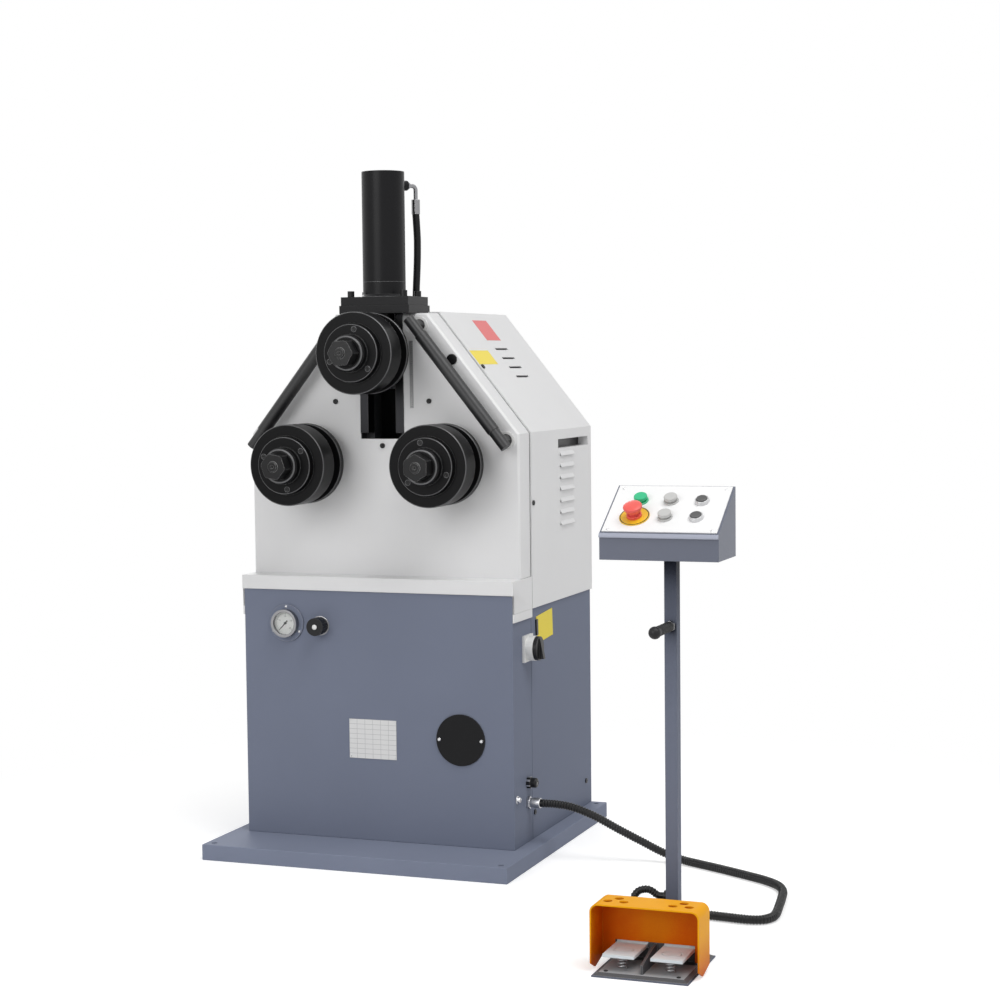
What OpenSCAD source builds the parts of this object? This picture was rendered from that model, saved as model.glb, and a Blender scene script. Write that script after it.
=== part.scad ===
// Angle roll bender: hydraulic, with three rolls and a control pedestal.
// Millimetres. The origin is under the middle of the floor pan.
// X runs right, Y back, Z up. Heights are from the floor unless said otherwise.

/* [Floor pan] */
// Width of the floor pan
base_w = 760; // [720:2:840]
// Depth of the floor pan
base_d = 736; // [720:2:800]
// Height of the floor pan
base_h = 37; // [25:1:50]
// Sheet of the floor pan
base_t = 4; // [2:0.5:6]
// Width of the stiffening bar under the pan
base_rib_w = 60; // [40:2:100]
// Anchor holes from the edges of the pan
anchor_inset = 22; // [18:1:26]
// Diameter of the anchor holes
anchor_d = 14; // [10:1:18]

/* [Cabinet] */
// Width of the lower cabinet
cab_w = 680; // [660:2:700]
// Cabinet front from the pan's middle
cab_front = 206; // [190:1:230]
// Height of the cabinet front above the pan
cab_h = 586; // [560:2:620]
// Depth of the front column, to the cover seam
column_d = 124; // [115:1:130]
// Sheet of the cabinet and the lower cover
cab_sheet = 3; // [2:0.5:5]
// Height of the lower rear cover above the pan
low_cover_h = 544; // [500:1:545]
// Gap at the seam of the rear covers
seam_gap = 2; // [1:0.5:4]
// Rear covers from the pan's back edge
rear_inset = 2; // [0:1:10]
// Width of the column's inward flanges
column_flange = 24; // [15:1:30]

/* [Ledge] */
// Height of the ledge's front lip
ledge_h = 33; // [25:1:40]
// Overhang of the ledge beyond the cabinet
ledge_over = 4; // [2:0.5:6]
// Sheet of the ledge
ledge_t = 4; // [2:0.5:6]

/* [Upper body] */
// Setback of the front panel
setback = 56; // [45:1:65]
// Height of the eaves above the ledge
eaves_h = 334; // [320:2:360]
// Height of the roof above the eaves
roof_h = 280; // [270:2:300]
// Half the width of the flat roof
roof_half = 117; // [105:1:130]
// Sheet of the front housing
skin_t = 4; // [3:0.5:6]
// Width of the bevel round the front panel
edge_bevel = 5; // [2:0.5:5]
// Sheet of the upper rear cover
cover_sheet = 4; // [2:0.5:6]
// Lap of the upper cover over the lower one
cover_lap = 15; // [8:1:30]

/* [Cover openings] */
// Number of louvres on each side
louvre_n = 7; // [3:1:8]
// Length of a louvre
louvre_len = 100; // [60:5:120]
// Pitch of the louvres
louvre_pitch = 28; // [22:1:34]
// Height of the slit under a louvre
louvre_slit = 5; // [3:0.5:8]
// How far a louvre stands proud
louvre_out = 5; // [2:0.5:8]
// Louvres behind the seam
louvre_back = 209; // [180:1:230]
// Top louvre below the eaves
louvre_drop = 62; // [55:1:70]
// Length of the hand pocket
pocket_len = 230; // [160:5:240]
// Height of the hand pocket
pocket_h = 22; // [20:1:30]
// Depth of the hand pocket
pocket_in = 28; // [20:1:34]
// Pocket's middle below the eaves
pocket_drop = 33; // [28:1:38]
// Pocket behind the seam
pocket_back = 196; // [180:1:205]
// Number of vent slots in each slope
vent_n = 4; // [2:1:6]
// Length of a vent slot
vent_len = 86; // [50:2:110]
// Width of a vent slot
vent_w = 6; // [3:0.5:8]
// Pitch of the vent slots
vent_pitch = 28.5; // [20:0.5:34]
// First vent slot from the roof edge
vent_drop = 112; // [60:1:130]
// Vent slots behind the seam
vent_back = 232; // [180:2:260]

/* [Frame] */
// Thickness of the deck on the cabinet frame
deck_t = 20; // [12:1:26]
// Size of a cabinet post
post_s = 40; // [30:1:50]
// Wall of a cabinet post
post_t = 4; // [3:0.5:6]
// Thickness of the front frame plate
plate_t = 30; // [25:1:36]
// Gap between the frame plates
plate_gap = 156; // [150:1:170]
// Thickness of the rear frame plate
rear_plate_t = 25; // [20:1:30]
// Width of the rear frame plate
rear_plate_w = 600; // [580:2:640]
// Height of the rear frame plate
rear_plate_h = 440; // [420:2:450]
// Tie bars from the side
tie_in = 70; // [60:1:85]
// Tie bars from the plate's edge
tie_edge = 30; // [20:1:40]
// Diameter of the tie bars
tie_d = 30; // [20:1:40]
// Outside diameter of the front bearing hubs
hub_d = 116; // [104:1:124]
// How far the bearing hubs stand out
hub_out = 16; // [10:1:22]

/* [Rolls] */
// Height of the lower roll axes
roll_z = 922; // [900:1:940]
// Top roll axis above the lower ones
roll_rise = 256; // [250:1:270]
// Diameter of the rolls
roll_d = 188; // [170:1:194]
// Width of the front disc of a roll
rim_w = 58; // [45:1:65]
// Width of the groove of a roll
groove_w = 35; // [20:1:45]
// Diameter at the bottom of the groove
groove_d = 146; // [120:1:160]
// Width of the rear flange of a lower roll
flange_w = 18; // [8:1:24]
// Width of the rear flange of the top roll
top_flange_w = 10; // [8:1:24]
// Bevel on the edges of a roll
roll_bevel = 2.5; // [1:0.5:5]
// Gap behind the lower rolls
roll_gap = 42; // [36:1:50]
// Gap behind the top roll
top_roll_gap = 57; // [45:1:64]
// Diameter of the clamp plate on a roll
boss_d = 132; // [124:1:140]
// Thickness of the clamp plate on a roll
boss_t = 16; // [10:1:22]
// Radius of the circle of clamp plate screws
boss_screw_r = 55; // [50:0.5:56]
// Diameter of the clamp plate's recesses
boss_screw_d = 12; // [8:0.5:14]
// Depth of the clamp plate's recesses
boss_screw_in = 4; // [2:0.5:6]
// Diameter of the collar on the clamp nut
collar_d = 84; // [70:1:90]
// Thickness of the collar on the clamp nut
collar_t = 25; // [15:1:32]
// Width across the flats of the clamp nut
nut_af = 55; // [46:1:60]
// Length of the hexagon of the clamp nut
nut_t = 33; // [25:1:40]
// Diameter of the shafts
shaft_d = 50; // [40:1:54]
// Diameter of the shaft shoulder behind a roll
shoulder_d = 74; // [64:1:80]
// Outside diameter of the shaft bearings
bearing_d = 90; // [80:1:96]
// Diameter of the threaded end of a shaft
thread_d = 24; // [20:1:30]
// Radial clearance of a running fit
run_clear = 0.05; // [0.02:0.01:0.09]
// Turn of the top roll's screws
top_turn = 80; // [0:1:119]
// Turn of the left roll's screws
left_turn = 38; // [0:1:119]
// Turn of the right roll's screws
right_turn = 101; // [0:1:119]

/* [Drive] */
// Module of the gears
gear_module = 5; // [4.8:0.1:5.2]
// Teeth of the roll gears
gear_teeth = 48; // [46:2:50]
// Teeth of the drive pinion
pinion_teeth = 22; // [20:2:24]
// Width of the gears
gear_w = 36; // [25:1:40]
// Backlash taken off each tooth
backlash = 0.8; // [0.5:0.1:1.2]
// Diameter of the pinion shaft
pinion_shaft_d = 30; // [24:1:36]
// Gap from the rear frame plate to the gears
gear_gap = 8; // [5:1:12]
// Width of the gearbox
gearbox_w = 200; // [180:2:220]
// Height of the gearbox
gearbox_h = 260; // [250:2:280]
// Depth of the gearbox
gearbox_d = 100; // [80:2:110]
// Diameter of the drive motor
motor_d = 160; // [140:2:180]
// Length of the drive motor
motor_l = 110; // [90:2:120]

/* [Slide] */
// Width of the slide slot
slot_w = 110; // [106:1:120]
// Height of the slot floor
slot_floor = 978; // [965:1:990]
// Width of a gib bar
gib_w = 20; // [16:1:22]
// How far the gib bars stand out
gib_out = 2; // [1:0.5:4]
// Gib bars above the slot floor
gib_lift = 14; // [5:1:25]
// Height of the slide block
slide_h = 116; // [100:1:120]
// Depth of the slide block
slide_d = 172; // [160:1:178]
// Clearance of the slide block on each side
slide_clear = 0.3; // [0.2:0.05:0.5]
// Depth of the guide cheeks
cheek_d = 42; // [34:1:44]
// Width of a guide cheek
cheek_w = 44; // [36:1:48]

/* [Cylinder] */
// Cylinder axis behind the front panel
cyl_back = 23; // [18:1:28]
// Outside diameter of the cylinder barrel
barrel_d = 100; // [96:1:112]
// Height of the barrel above its flange
barrel_h = 291; // [280:1:320]
// Bore of the cylinder
cyl_bore = 80; // [70:1:86]
// Thickness of the cylinder head
head_t = 16; // [10:1:24]
// Diameter of the piston rod
rod_d = 40; // [34:1:46]
// Clearance round the piston rod
rod_clear = 0.5; // [0.3:0.1:1]
// Thickness of the piston
piston_t = 30; // [20:1:40]
// Gap above the piston at rest
piston_gap = 12; // [5:1:20]
// Width of the cylinder flange
cyl_flange_w = 170; // [160:1:180]
// Depth of the cylinder flange
cyl_flange_d = 120; // [114:1:124]
// Thickness of the cylinder flange
cyl_flange_t = 20; // [14:1:26]
// Thickness of the plate under the flange
bed_t = 19; // [14:1:24]
// Overhang of the plate under the flange
bed_over = 3; // [1:0.5:4]
// Height of the barrel's weld collar
weld_h = 6; // [4:1:10]
// Flange bolt spacing across the machine
bolt_dx = 134; // [130:1:146]
// Flange bolt spacing along the machine
bolt_dy = 84; // [76:1:96]
// Diameter of a flange bolt head
bolt_head_d = 16; // [13:1:20]
// Height of a flange bolt head
bolt_head_h = 14; // [10:1:18]

/* [Hose] */
// Diameter of the hydraulic hose
hose_d = 17; // [13:1:18]
// Diameter of the crimped ferrule
ferrule_d = 20; // [18:0.5:22]
// Length of the crimped ferrule
ferrule_l = 34; // [25:1:40]
// Diameter of the elbow pipe
elbow_d = 10; // [8:0.5:12]
// Diameter of the port boss on the barrel
port_d = 24; // [20:1:28]
// Port above the cylinder flange
port_h = 262; // [240:1:270]
// Port boss's end from the cylinder axis
port_reach = 66; // [62:1:70]
// Bend of the elbow pipe
elbow_bend = 10; // [8:0.5:14]
// Straight drop of the elbow pipe
elbow_drop = 22; // [15:1:30]

/* [Side rods] */
// Diameter of a side rod
side_rod_d = 30; // [24:1:34]
// Length of the thick middle of a side rod
side_rod_l = 284; // [260:2:300]
// Diameter of the ends of a side rod
rod_end_d = 26; // [20:1:28]
// Length of each end of a side rod
rod_end_l = 48; // [40:1:56]
// Stand-off from the thick middle
standoff_at = 28; // [20:1:34]
// Side rod's middle from the roof
rod_mid = 180; // [165:1:185]
// Gap behind a side rod's axis
rod_out = 38; // [34:1:54]
// Side rod inside the slope
rod_inside = 33; // [12:1:36]
// Width across the flats of a stand-off
standoff_af = 24; // [20:1:28]
// Diameter of a stand-off's washer
washer_d = 40; // [36:1:44]
// Thickness of a stand-off's washer
washer_t = 3; // [2:0.5:5]

/* [Gauge and regulator] */
// Gauge from the side
gauge_x = 111; // [95:1:125]
// Height of the gauge
gauge_z = 544; // [520:1:560]
// Diameter of the gauge flange
gauge_flange_d = 88; // [80:1:94]
// Diameter of the gauge bezel
gauge_bezel_d = 66; // [60:1:72]
// How far the gauge bezel stands out
gauge_out = 20; // [16:1:26]
// Diameter of the dial
dial_d = 58; // [50:1:58]
// Depth of the gauge case behind the panel
gauge_in = 34; // [25:1:45]
// Direction of the needle at rest
needle_deg = 227; // [215:1:235]
// Regulator knob from the side
knob_x = 198; // [180:1:210]
// Height of the regulator knob
knob_z = 540; // [520:1:560]
// Diameter of the regulator knob
knob_d = 42; // [34:1:46]
// Length of the regulator knob
knob_l = 28; // [20:1:36]
// Diameter of the regulator stem
stem_d = 12; // [8:1:16]
// Size of the regulator valve behind the panel
reg_s = 46; // [40:1:56]

/* [Front covers] */
// Inspection cover from the side
inspect_x = 130; // [110:1:150]
// Height of the inspection cover
inspect_z = 286; // [260:1:310]
// Diameter of the inspection cover
inspect_d = 120; // [100:1:140]
// Thickness of the inspection cover
inspect_t = 3; // [2:0.5:5]
// Opening behind the inspection cover
inspect_hole_d = 90; // [70:1:92]
// Small plug from the slope
plug_x = 26; // [16:1:38]
// Height of the small plug
plug_z = 1162; // [1150:1:1175]
// Diameter of the small plug
plug_d = 25; // [20:1:30]

/* [Main switch and glands] */
// Switch behind the cabinet front
switch_back = 92; // [85:1:96]
// Height of the switch
switch_z = 493; // [470:1:510]
// Width of the switch base
switch_w = 60; // [50:1:62]
// Height of the switch base
switch_h = 62; // [54:1:70]
// How far the switch base stands out
switch_out = 24; // [18:1:30]
// Diameter of the switch knob
switch_knob_d = 56; // [46:1:58]
// Thickness of the switch knob's disc
switch_knob_t = 9; // [6:1:14]
// Height of the switch knob's grip
switch_grip = 11; // [8:1:16]
// Glands behind the cabinet front
gland_back = 92; // [84:1:98]
// Height of the supply gland
supply_z = 178; // [165:1:200]
// Height of the conduit fitting
conduit_z = 131; // [120:1:145]
// Outside size of the supply gland
supply_af = 24; // [20:1:28]
// Bore of the supply gland
supply_bore = 11; // [8:0.5:13]

/* [Power pack] */
// Width of the oil tank
tank_w = 360; // [320:5:380]
// Depth of the oil tank
tank_d = 260; // [220:5:270]
// Height of the oil tank
tank_h = 220; // [180:5:250]
// Gap beside the oil tank
tank_gap = 40; // [10:1:60]
// Wall of the oil tank
tank_t = 4; // [3:0.5:6]
// Diameter of the pump motor
pump_d = 170; // [150:2:190]
// Height of the pump motor
pump_h = 240; // [200:5:260]
// Height of the valve block
valve_h = 74; // [60:1:90]
// Width of the valve block
valve_w = 90; // [80:1:100]
// Depth of the valve block
valve_d = 80; // [70:1:90]
// Height of the electric panel
elec_h = 330; // [300:2:400]
// Pitch of the electric panel's devices
elec_pitch = 70; // [60:1:80]
// Diameter of the valve coils
coil_d = 40; // [30:1:50]
// Length of the valve coils
coil_l = 55; // [40:1:65]

/* [Pedestal] */
// Pedestal to the right
ped_x = 865; // [840:1:900]
// Post left of the foot switch's middle
post_off = 4; // [0:1:10]
// Console left of the post
console_off = 5; // [0:1:10]
// Post in front of the machine's middle
ped_y = 722; // [700:1:750]
// Size of the square post
ped_s = 25; // [22:1:30]
// Wall of the square post
ped_t = 2; // [1.5:0.5:4]
// Height of the console's underside
console_z = 770; // [740:5:820]
// Thickness of the foot plate
foot_t = 3; // [2:0.5:6]
// Width of the foot plate's tongue
tongue_w = 76; // [60:1:84]
// Reach of the tongue behind the post
tongue_back = 60; // [40:1:70]
// Height of the grip
grip_z = 637; // [600:1:680]
// Length of the grip
grip_l = 112; // [90:1:130]
// Diameter of the grip
grip_d = 21; // [18:0.5:26]
// Length of the nut behind the grip
grip_nut_l = 10; // [6:1:14]

/* [Console] */
// Width of the console
console_w = 238; // [220:2:260]
// Depth of the console
console_d = 134; // [124:1:150]
// Height of the console's front
console_front_h = 52; // [44:1:60]
// Height of the console's back
console_back_h = 137; // [125:1:150]
// Console's front before the post
console_ahead = 78; // [66:1:90]
// Sheet of the console
console_t = 2; // [1.5:0.5:3]
// Margin of the panel inside the console's edges
panel_margin = 4; // [3:0.5:6]
// Thickness of the panel
panel_t = 2; // [1.5:0.5:4]
// Spacing of the button columns
button_dx = 61; // [55:1:70]
// Upper button row up the slope
button_high = 104; // [92:1:108]
// Lower button row up the slope
button_low = 51; // [42:1:54]
// Diameter of a button collar
button_collar_d = 29; // [26:0.5:32]
// Height of a button collar
button_collar_h = 3; // [2:0.5:5]
// Diameter of a button cap
button_cap_d = 22; // [18:0.5:24]
// Height of a raised button cap
button_raised = 13; // [9:0.5:16]
// Height of a low button cap
button_low_h = 9; // [7:0.5:12]
// Travel of a button
button_travel = 4; // [2:0.5:5]
// Travel of the emergency stop
stop_travel = 5; // [3:0.5:6]
// Clearance round a button cap
button_clear = 0.3; // [0.2:0.05:0.5]
// Diameter of the emergency stop's mushroom
stop_d = 38; // [34:1:44]
// Height of the emergency stop above the panel
stop_h = 31; // [28:1:44]
// Diameter of the emergency stop's disc
stop_disc_d = 60; // [54:1:64]

/* [Foot switch] */
// Width of the foot switch base
pedal_base_w = 184; // [176:1:200]
// Base's front edge before the post
pedal_ahead = 252; // [246:1:258]
// Depth of the foot switch base
pedal_base_d = 198; // [190:1:204]
// Height of the foot switch base
pedal_base_h = 5; // [4:1:20]
// Slope of the base's skirt
pedal_skirt = 9; // [5:1:14]
// Width of a pedal
pedal_w = 62; // [54:1:66]
// Spacing of the pedals
pedal_dx = 94; // [86:1:96]
// Length of a pedal before its pivot
pedal_l = 100; // [96:1:122]
// Thickness of a pedal
pedal_t = 6; // [5:0.5:10]
// Height of a spring under a pedal
spring_h = 26; // [20:0.5:30]
// Outside diameter of a spring
spring_d = 19; // [16:0.5:22]
// Wire of a spring
spring_wire = 2; // [1.5:0.1:2.4]
// Curls of a spring
spring_turns = 4; // [3:0.5:5]
// Spring before the pivot
spring_ahead = 72; // [60:1:84]
// Pivot before the post
pivot_ahead = 134; // [132:1:138]
// Diameter of the pivot pin
pivot_d = 6; // [5:0.5:7]
// Width of the guard
guard_w = 214; // [206:1:224]
// Height of the guard
guard_h = 131; // [120:1:145]
// Depth of the guard
guard_d = 76; // [68:1:84]
// Sheet of the guard
guard_t = 3; // [2:0.5:4]
// Round of the guard's upper corners
guard_round = 16; // [10:1:22]
// Guard's back wall before the pivot
guard_ahead = 12; // [10:1:14]
// Height of the switch housing above the base
housing_h = 70; // [60:1:76]
// Width of the switch housing
housing_w = 150; // [140:1:156]

/* [Conduits] */
// Outside diameter of the machine conduit
conduit_d = 20; // [18:0.5:21]
// Bore of the machine conduit
conduit_bore = 13; // [11:0.5:13]
// Ribs of the machine conduit
conduit_ribs = 160; // [80:1:200]
// Outside diameter of the pedal conduit
lead_d = 16; // [14:0.5:16]
// Bore of the pedal conduit
lead_bore = 10; // [8:0.5:10]
// Ribs of the pedal conduit
lead_ribs = 36; // [20:1:60]
// Depth of a conduit rib
rib_in = 1.4; // [0.8:0.1:1.5]
// Length of a conduit fitting
fitting_l = 16; // [12:1:20]
// Length of the pedal conduit's post fitting
post_fitting_l = 6; // [4:0.5:8]
// Height of the machine conduit's post fitting
post_conduit_z = 34; // [28:1:44]
// Height of the pedal conduit's post fitting
post_pedal_z = 98; // [88:1:110]
// Height of the fitting on the switch housing
housing_fitting_z = 50; // [44:1:56]
// Place of that fitting from the middle
housing_fitting_x = 65; // [55:1:65]
// Length of the two smaller fittings
small_fitting_l = 12; // [10:1:16]
// Gap between a conduit and its fitting
cord_gap = 0.3; // [0.2:0.1:0.5]

/* [Screws and small parts] */
// Diameter of the round mark on a pedal
pedal_mark_d = 40; // [30:1:50]
// Diameter of a panel screw head
screw_d = 12; // [8:0.5:14]
// Height of a panel screw head
screw_h = 3; // [2:0.5:5]
// Upper panel screws from the middle
panel_screw_x = 119; // [110:1:130]
// Height of the upper panel screws
panel_screw_z = 1066; // [1055:1:1075]
// Height of the lower panel screw
low_screw_z = 962; // [955:1:966]
// Inspection cover's screws from its middle
inspect_screw_x = 52; // [48:0.5:54]
// Diameter of the inspection cover's screws
inspect_screw_d = 8; // [6:0.5:10]
// Height of the upper cover's side screws
side_screw_z = 827; // [800:1:850]
// Lower cover's screws above the pan
low_screw_up = 62; // [50:1:80]
// Lower cover's rear screws from its back
rear_screw_in = 46; // [30:1:60]
// Slope screws from the roof edge
slope_screw_drop = 166; // [150:1:180]
// Thickness of the gauge flange
gauge_flange_t = 4; // [3:0.5:5]
// Diameter of the gauge body behind the panel
gauge_body_d = 60; // [50:1:64]
// Lip of the bezel in front of the lens
lens_lip = 2; // [1.5:0.5:3]
// Thickness of the lens
lens_t = 2; // [1.5:0.5:3]
// Diameter of the needle's pin
needle_pin_d = 3; // [2:0.5:4]
// Diameter of the regulator's neck
reg_neck_d = 20; // [18:1:24]
// Thickness of the regulator's nut
reg_nut_t = 4; // [3:0.5:6]
// Depth of a knob's stem in its bore
stem_in = 16; // [12:1:20]
// Length of the supply gland
supply_l = 22; // [18:1:28]
// Shaft's end inside its clamp nut
shaft_end_in = 6; // [3:1:10]
// Width of the console's rim under the panel
console_rim = 9; // [7:0.5:12]
// Height of the emergency stop's head
stop_head_h = 15; // [12:1:18]

/* [Hidden] */
$fn = 64;

// Colours
white = [0.92, 0.92, 0.91];
grey = [0.45, 0.48, 0.54];
dark = [0.36, 0.37, 0.39];
steel = [0.64, 0.65, 0.67];
black = [0.13, 0.13, 0.14];
blue = [0.27, 0.33, 0.37];
red = [0.80, 0.10, 0.10];
green = [0.05, 0.55, 0.20];
yellow = [0.93, 0.66, 0.12];
glass = [0.80, 0.88, 0.92, 0.35];

// Heights and planes of the machine
base_top = base_h;
cab_top = base_top + cab_h;
split_z = base_top + low_cover_h;
ledge_top = cab_top + ledge_h;
eaves_z = ledge_top + eaves_h;
roof_z = eaves_z + roof_h;
deck_top = ledge_top - ledge_t;
front_y = -cab_front;
seam_y = front_y + column_d;
panel_y = front_y + setback;
rear_y = base_d / 2 - rear_inset;
body_half = cab_w / 2;
low_deck = deck_top - deck_t;

// Frame planes
plate_front = panel_y + skin_t;
plate_back = plate_front + plate_t;
rear_plate_y = plate_back + plate_gap;
rear_plate_back = rear_plate_y + rear_plate_t;
gear_y = rear_plate_back + gear_gap;
gearbox_y = gear_y + gear_w + 16;

// Slope of the roof, and places from the sides
slope_len = sqrt(pow(body_half - roof_half, 2) + pow(roof_h, 2));
slope_sin = roof_h / slope_len;
slope_cos = (body_half - roof_half) / slope_len;
slope_deg = atan2(roof_h, body_half - roof_half);
plug_cx = roof_half + (roof_z - plug_z) * slope_cos / slope_sin - plug_x;
inspect_cx = body_half - inspect_x;
gauge_cx = gauge_x - body_half;
knob_cx = knob_x - body_half;

// Roll places
roll_x = gear_module * (gear_teeth + pinion_teeth) / 2;
top_z = roll_z + roll_rise;
shaft_r = shaft_d / 2;
roll_back = panel_y - roll_gap;
top_roll_back = panel_y - top_roll_gap;
roll_len = rim_w + groove_w + flange_w;
top_roll_len = rim_w + groove_w + top_flange_w;
fit = run_clear;

// Slide and cylinder places
slide_half = slot_w / 2 - gib_w;
cyl_y = panel_y + cyl_back;
slide_top = top_z + slide_h / 2;
bed_top = roof_z + bed_t;
cyl_flange_top = bed_top + cyl_flange_t;
barrel_top = cyl_flange_top + barrel_h;
piston_top = barrel_top - head_t - piston_gap;
hose_y = -50;
hose_x = 46;
port_z = cyl_flange_top + port_h;
hose_top_x = 50;
hose_turn = atan2(hose_y - cyl_y, hose_top_x);
ferrule_bottom = port_z - elbow_bend - elbow_drop - ferrule_l;
bed_half = cyl_flange_w / 2 + bed_over;
bed_front = cyl_y - cyl_flange_d / 2 - bed_over;
bed_back = cyl_y + cyl_flange_d / 2 + bed_over;
cheek_half = slide_half + cheek_w;
post_in = body_half - cab_sheet - 7 - post_s;
tank_x = tank_gap - post_in;
tank_y = 20;

// Pedestal places
post_y = -ped_y;
post_x = ped_x - post_off;
console_x = post_x - console_off;
post_front = post_y - ped_s / 2;
post_back = post_y + ped_s / 2;
console_front_y = post_y - console_ahead;
console_rear_y = console_front_y + console_d;
panel_rise = console_back_h - console_front_h;
panel_deg = atan2(panel_rise, console_d);
panel_len = sqrt(pow(panel_rise, 2) + pow(console_d, 2));
pedal_front_y = post_y - pedal_ahead;
pedal_base_top = foot_t + pedal_base_h;
pedal_low = pedal_base_top + spring_h;
pivot_y = post_y - pivot_ahead;
pivot_z = pedal_low + pedal_t / 2;
spring_y = pivot_y - spring_ahead;
guard_back_y = pivot_y - guard_ahead;
guard_front_y = guard_back_y - guard_d;
housing_front_y = pivot_y + 10;
housing_back_y = pedal_front_y + pedal_base_d - 14;
housing_top = pedal_base_top + housing_h;
lug_half = pedal_dx / 2 - pedal_w / 2 - 2;
lug_out = pedal_dx / 2 + pedal_w / 2 + 1;
guard_gap_z = pedal_low + pedal_t + 6;
button_places = [
    [2 - button_dx, button_high], [2, button_high], [2, button_low],
    [button_dx + 3, button_high], [button_dx + 3, button_low]];
stop_place = [1 - button_dx, button_low + 1];

// Route of the machine conduit
conduit_start = [body_half + fitting_l + cord_gap, front_y + gland_back, conduit_z];
conduit_end = [post_x - ped_s / 2 - small_fitting_l - cord_gap, post_y, post_conduit_z];
conduit_route = [
    conduit_start, conduit_start + [20, 0, 0], conduit_start + [52, 0, 0], [440, -114, 128], [472, -111, 119],
    [508, -104, 103], [554, -90, 76], [604, -74, 48], [650, -66, 25], [700, -72, 12],
    [750, -94, 10], [806, -124, 10], [868, -160, 10], [920, -193, 10], [958, -230, 10],
    [979, -276, 10], [990, -336, 10], [999, -400, 10], [1006, -456, 10], [1005, -490, 10],
    [990, -515, 10], [960, -523, 10], [910, -518, 10], [850, -513, 10], [792, -518, 10],
    [744, -546, 10], [716, -594, 10], [716, -648, 12], [744, -694, 18],
    [782, -717, 27], [802, -722, 32.6], conduit_end - [23.5, 0, 0],
    conduit_end - [12.5, 0, 0], conduit_end];

// Route of the pedal conduit
pedal_start = [ped_x - housing_fitting_x, housing_back_y + small_fitting_l + cord_gap, housing_fitting_z];
pedal_end = [post_x - ped_s / 2 - post_fitting_l - cord_gap, post_y, post_pedal_z];
pedal_route = [
    for (q = [[0, 0, 0], [0, 8, 0], [0, 16, 0], [-3, 27, 4], [-10, 36, 14], [-16, 42, 28],
        [-18, 46, 42], [-14, 51, 51], [-7, 55, 56]]) pedal_start + q,
    for (q = [[-40, 0, 10.5], [-32, 0, 10.5], [-24.5, 0, 7.5], [-17, 0, 2.5], [-11, 0, 0], [-6, 0, 0],
        [0, 0, 0]]) pedal_end + q];

// Route of the hydraulic hose
hose_route = [
    [hose_top_x, hose_y, ferrule_bottom], [51.5, -50, 1480], [53, -50, 1445], [52.5, -50, 1405],
    [51, -50, 1370], [49, -50, 1335], [47.5, -50, 1300], [46.5, -50, 1260], [46, -50, 1200],
    [46, -50, 1000], [46, -50, 800], [hose_x, hose_y, low_deck]];

// Shape helpers

// Outline in X and Z from y0 to y1
module along_y(y0, y1) {
    translate([0, y1, 0]) rotate([90, 0, 0]) linear_extrude(y1 - y0) children();
}

// Outline in Y and Z from x0 to x1
module along_x(x0, x1) {
    translate([x0, 0, 0]) rotate([90, 0, 90]) linear_extrude(x1 - x0) children();
}

// Round bar along Y
module bar_y(x, z, d, y0, y1) {
    translate([x, y1, z]) rotate([90, 0, 0]) cylinder(d = d, h = y1 - y0);
}

// Round bar along X
module bar_x(y, z, d, x0, x1) {
    translate([x0, y, z]) rotate([0, 90, 0]) cylinder(d = d, h = x1 - x0);
}

// Hexagonal bar along Y
module hex_y(x, z, af, y0, y1, turn = 0) {
    translate([x, y1, z]) rotate([90, 0, 0]) rotate([0, 0, turn])
        cylinder(d = af / cos(30), h = y1 - y0, $fn = 6);
}

// Box between two corners
module block(a, b) {
    translate(a) cube(b - a);
}

// Outline of the upper body, moved in
function house(inset, z0) =
    let (x = body_half - inset,
         ez = eaves_z - inset * (1 - slope_sin) / slope_cos,
         rx = roof_half - inset * (1 - slope_cos) / slope_sin,
         rz = roof_z - inset)
    [[-x, z0], [x, z0], [x, ez], [rx, rz], [-rx, rz], [-x, ez]];

// Children on the upper cover's slope; down from the roof edge, back from the seam
module on_slope(side, down, back) {
    rx = roof_half + cover_sheet * (1 - slope_cos) / slope_sin;
    translate([side * (rx + down * slope_cos), seam_y + back, roof_z + cover_sheet - down * slope_sin])
        rotate([0, side * slope_deg, 0]) children();
}

// Children square to the console's panel; dx across, up along the slope
module on_panel(dx, up, h = 0) {
    translate([console_x + dx, console_front_y, console_z + console_front_h])
        rotate([panel_deg, 0, 0]) translate([0, up, h]) children();
}

// Swept tubes

// One stretch of a smooth curve through four points
function curve(a, b, c, d, t) = 0.5 * (2 * b + (c - a) * t + (2 * a - 5 * b + 4 * c - d) * t * t
    + (3 * b - a - 3 * c + d) * t * t * t);

// Points along a route
function dense(route, n) = let (e = len(route) - 1) [
    for (i = [0 : e - 1], k = [0 : n - 1])
        curve(route[max(i - 1, 0)], route[i], route[i + 1], route[min(i + 2, e)], k / n),
    route[e]];

// Distance of each point along its route
function lengths(p) = [for (i = 0, s = 0; i < len(p); i = i + 1,
    s = i < len(p) ? s + norm(p[i] - p[i - 1]) : s) s];

// Point at a distance along a route
function at(p, s, d) = [for (k = [0 : 2]) lookup(d, [for (i = [0 : len(p) - 1]) [s[i], p[i][k]]])];

// Direction of a route at a point
function heading(p, i) = let (v = p[min(i + 1, len(p) - 1)] - p[max(i - 1, 0)]) v / norm(v);

// Side vectors along points without twist
function sides(p, start) = [for (i = 0, v = start; i < len(p); i = i + 1,
    v = i < len(p) ? let (t = heading(p, i), w = v - (v * t) * t) w / norm(w) : v) v];

// Rings round a list of points
function rings(p, r, n, start) = let (v = sides(p, start)) [
    for (i = [0 : len(p) - 1]) let (t = heading(p, i), w = cross(t, v[i]))
        for (k = [0 : n - 1]) p[i] + r[i] * (cos(360 * k / n) * v[i] + sin(360 * k / n) * w)];

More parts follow.
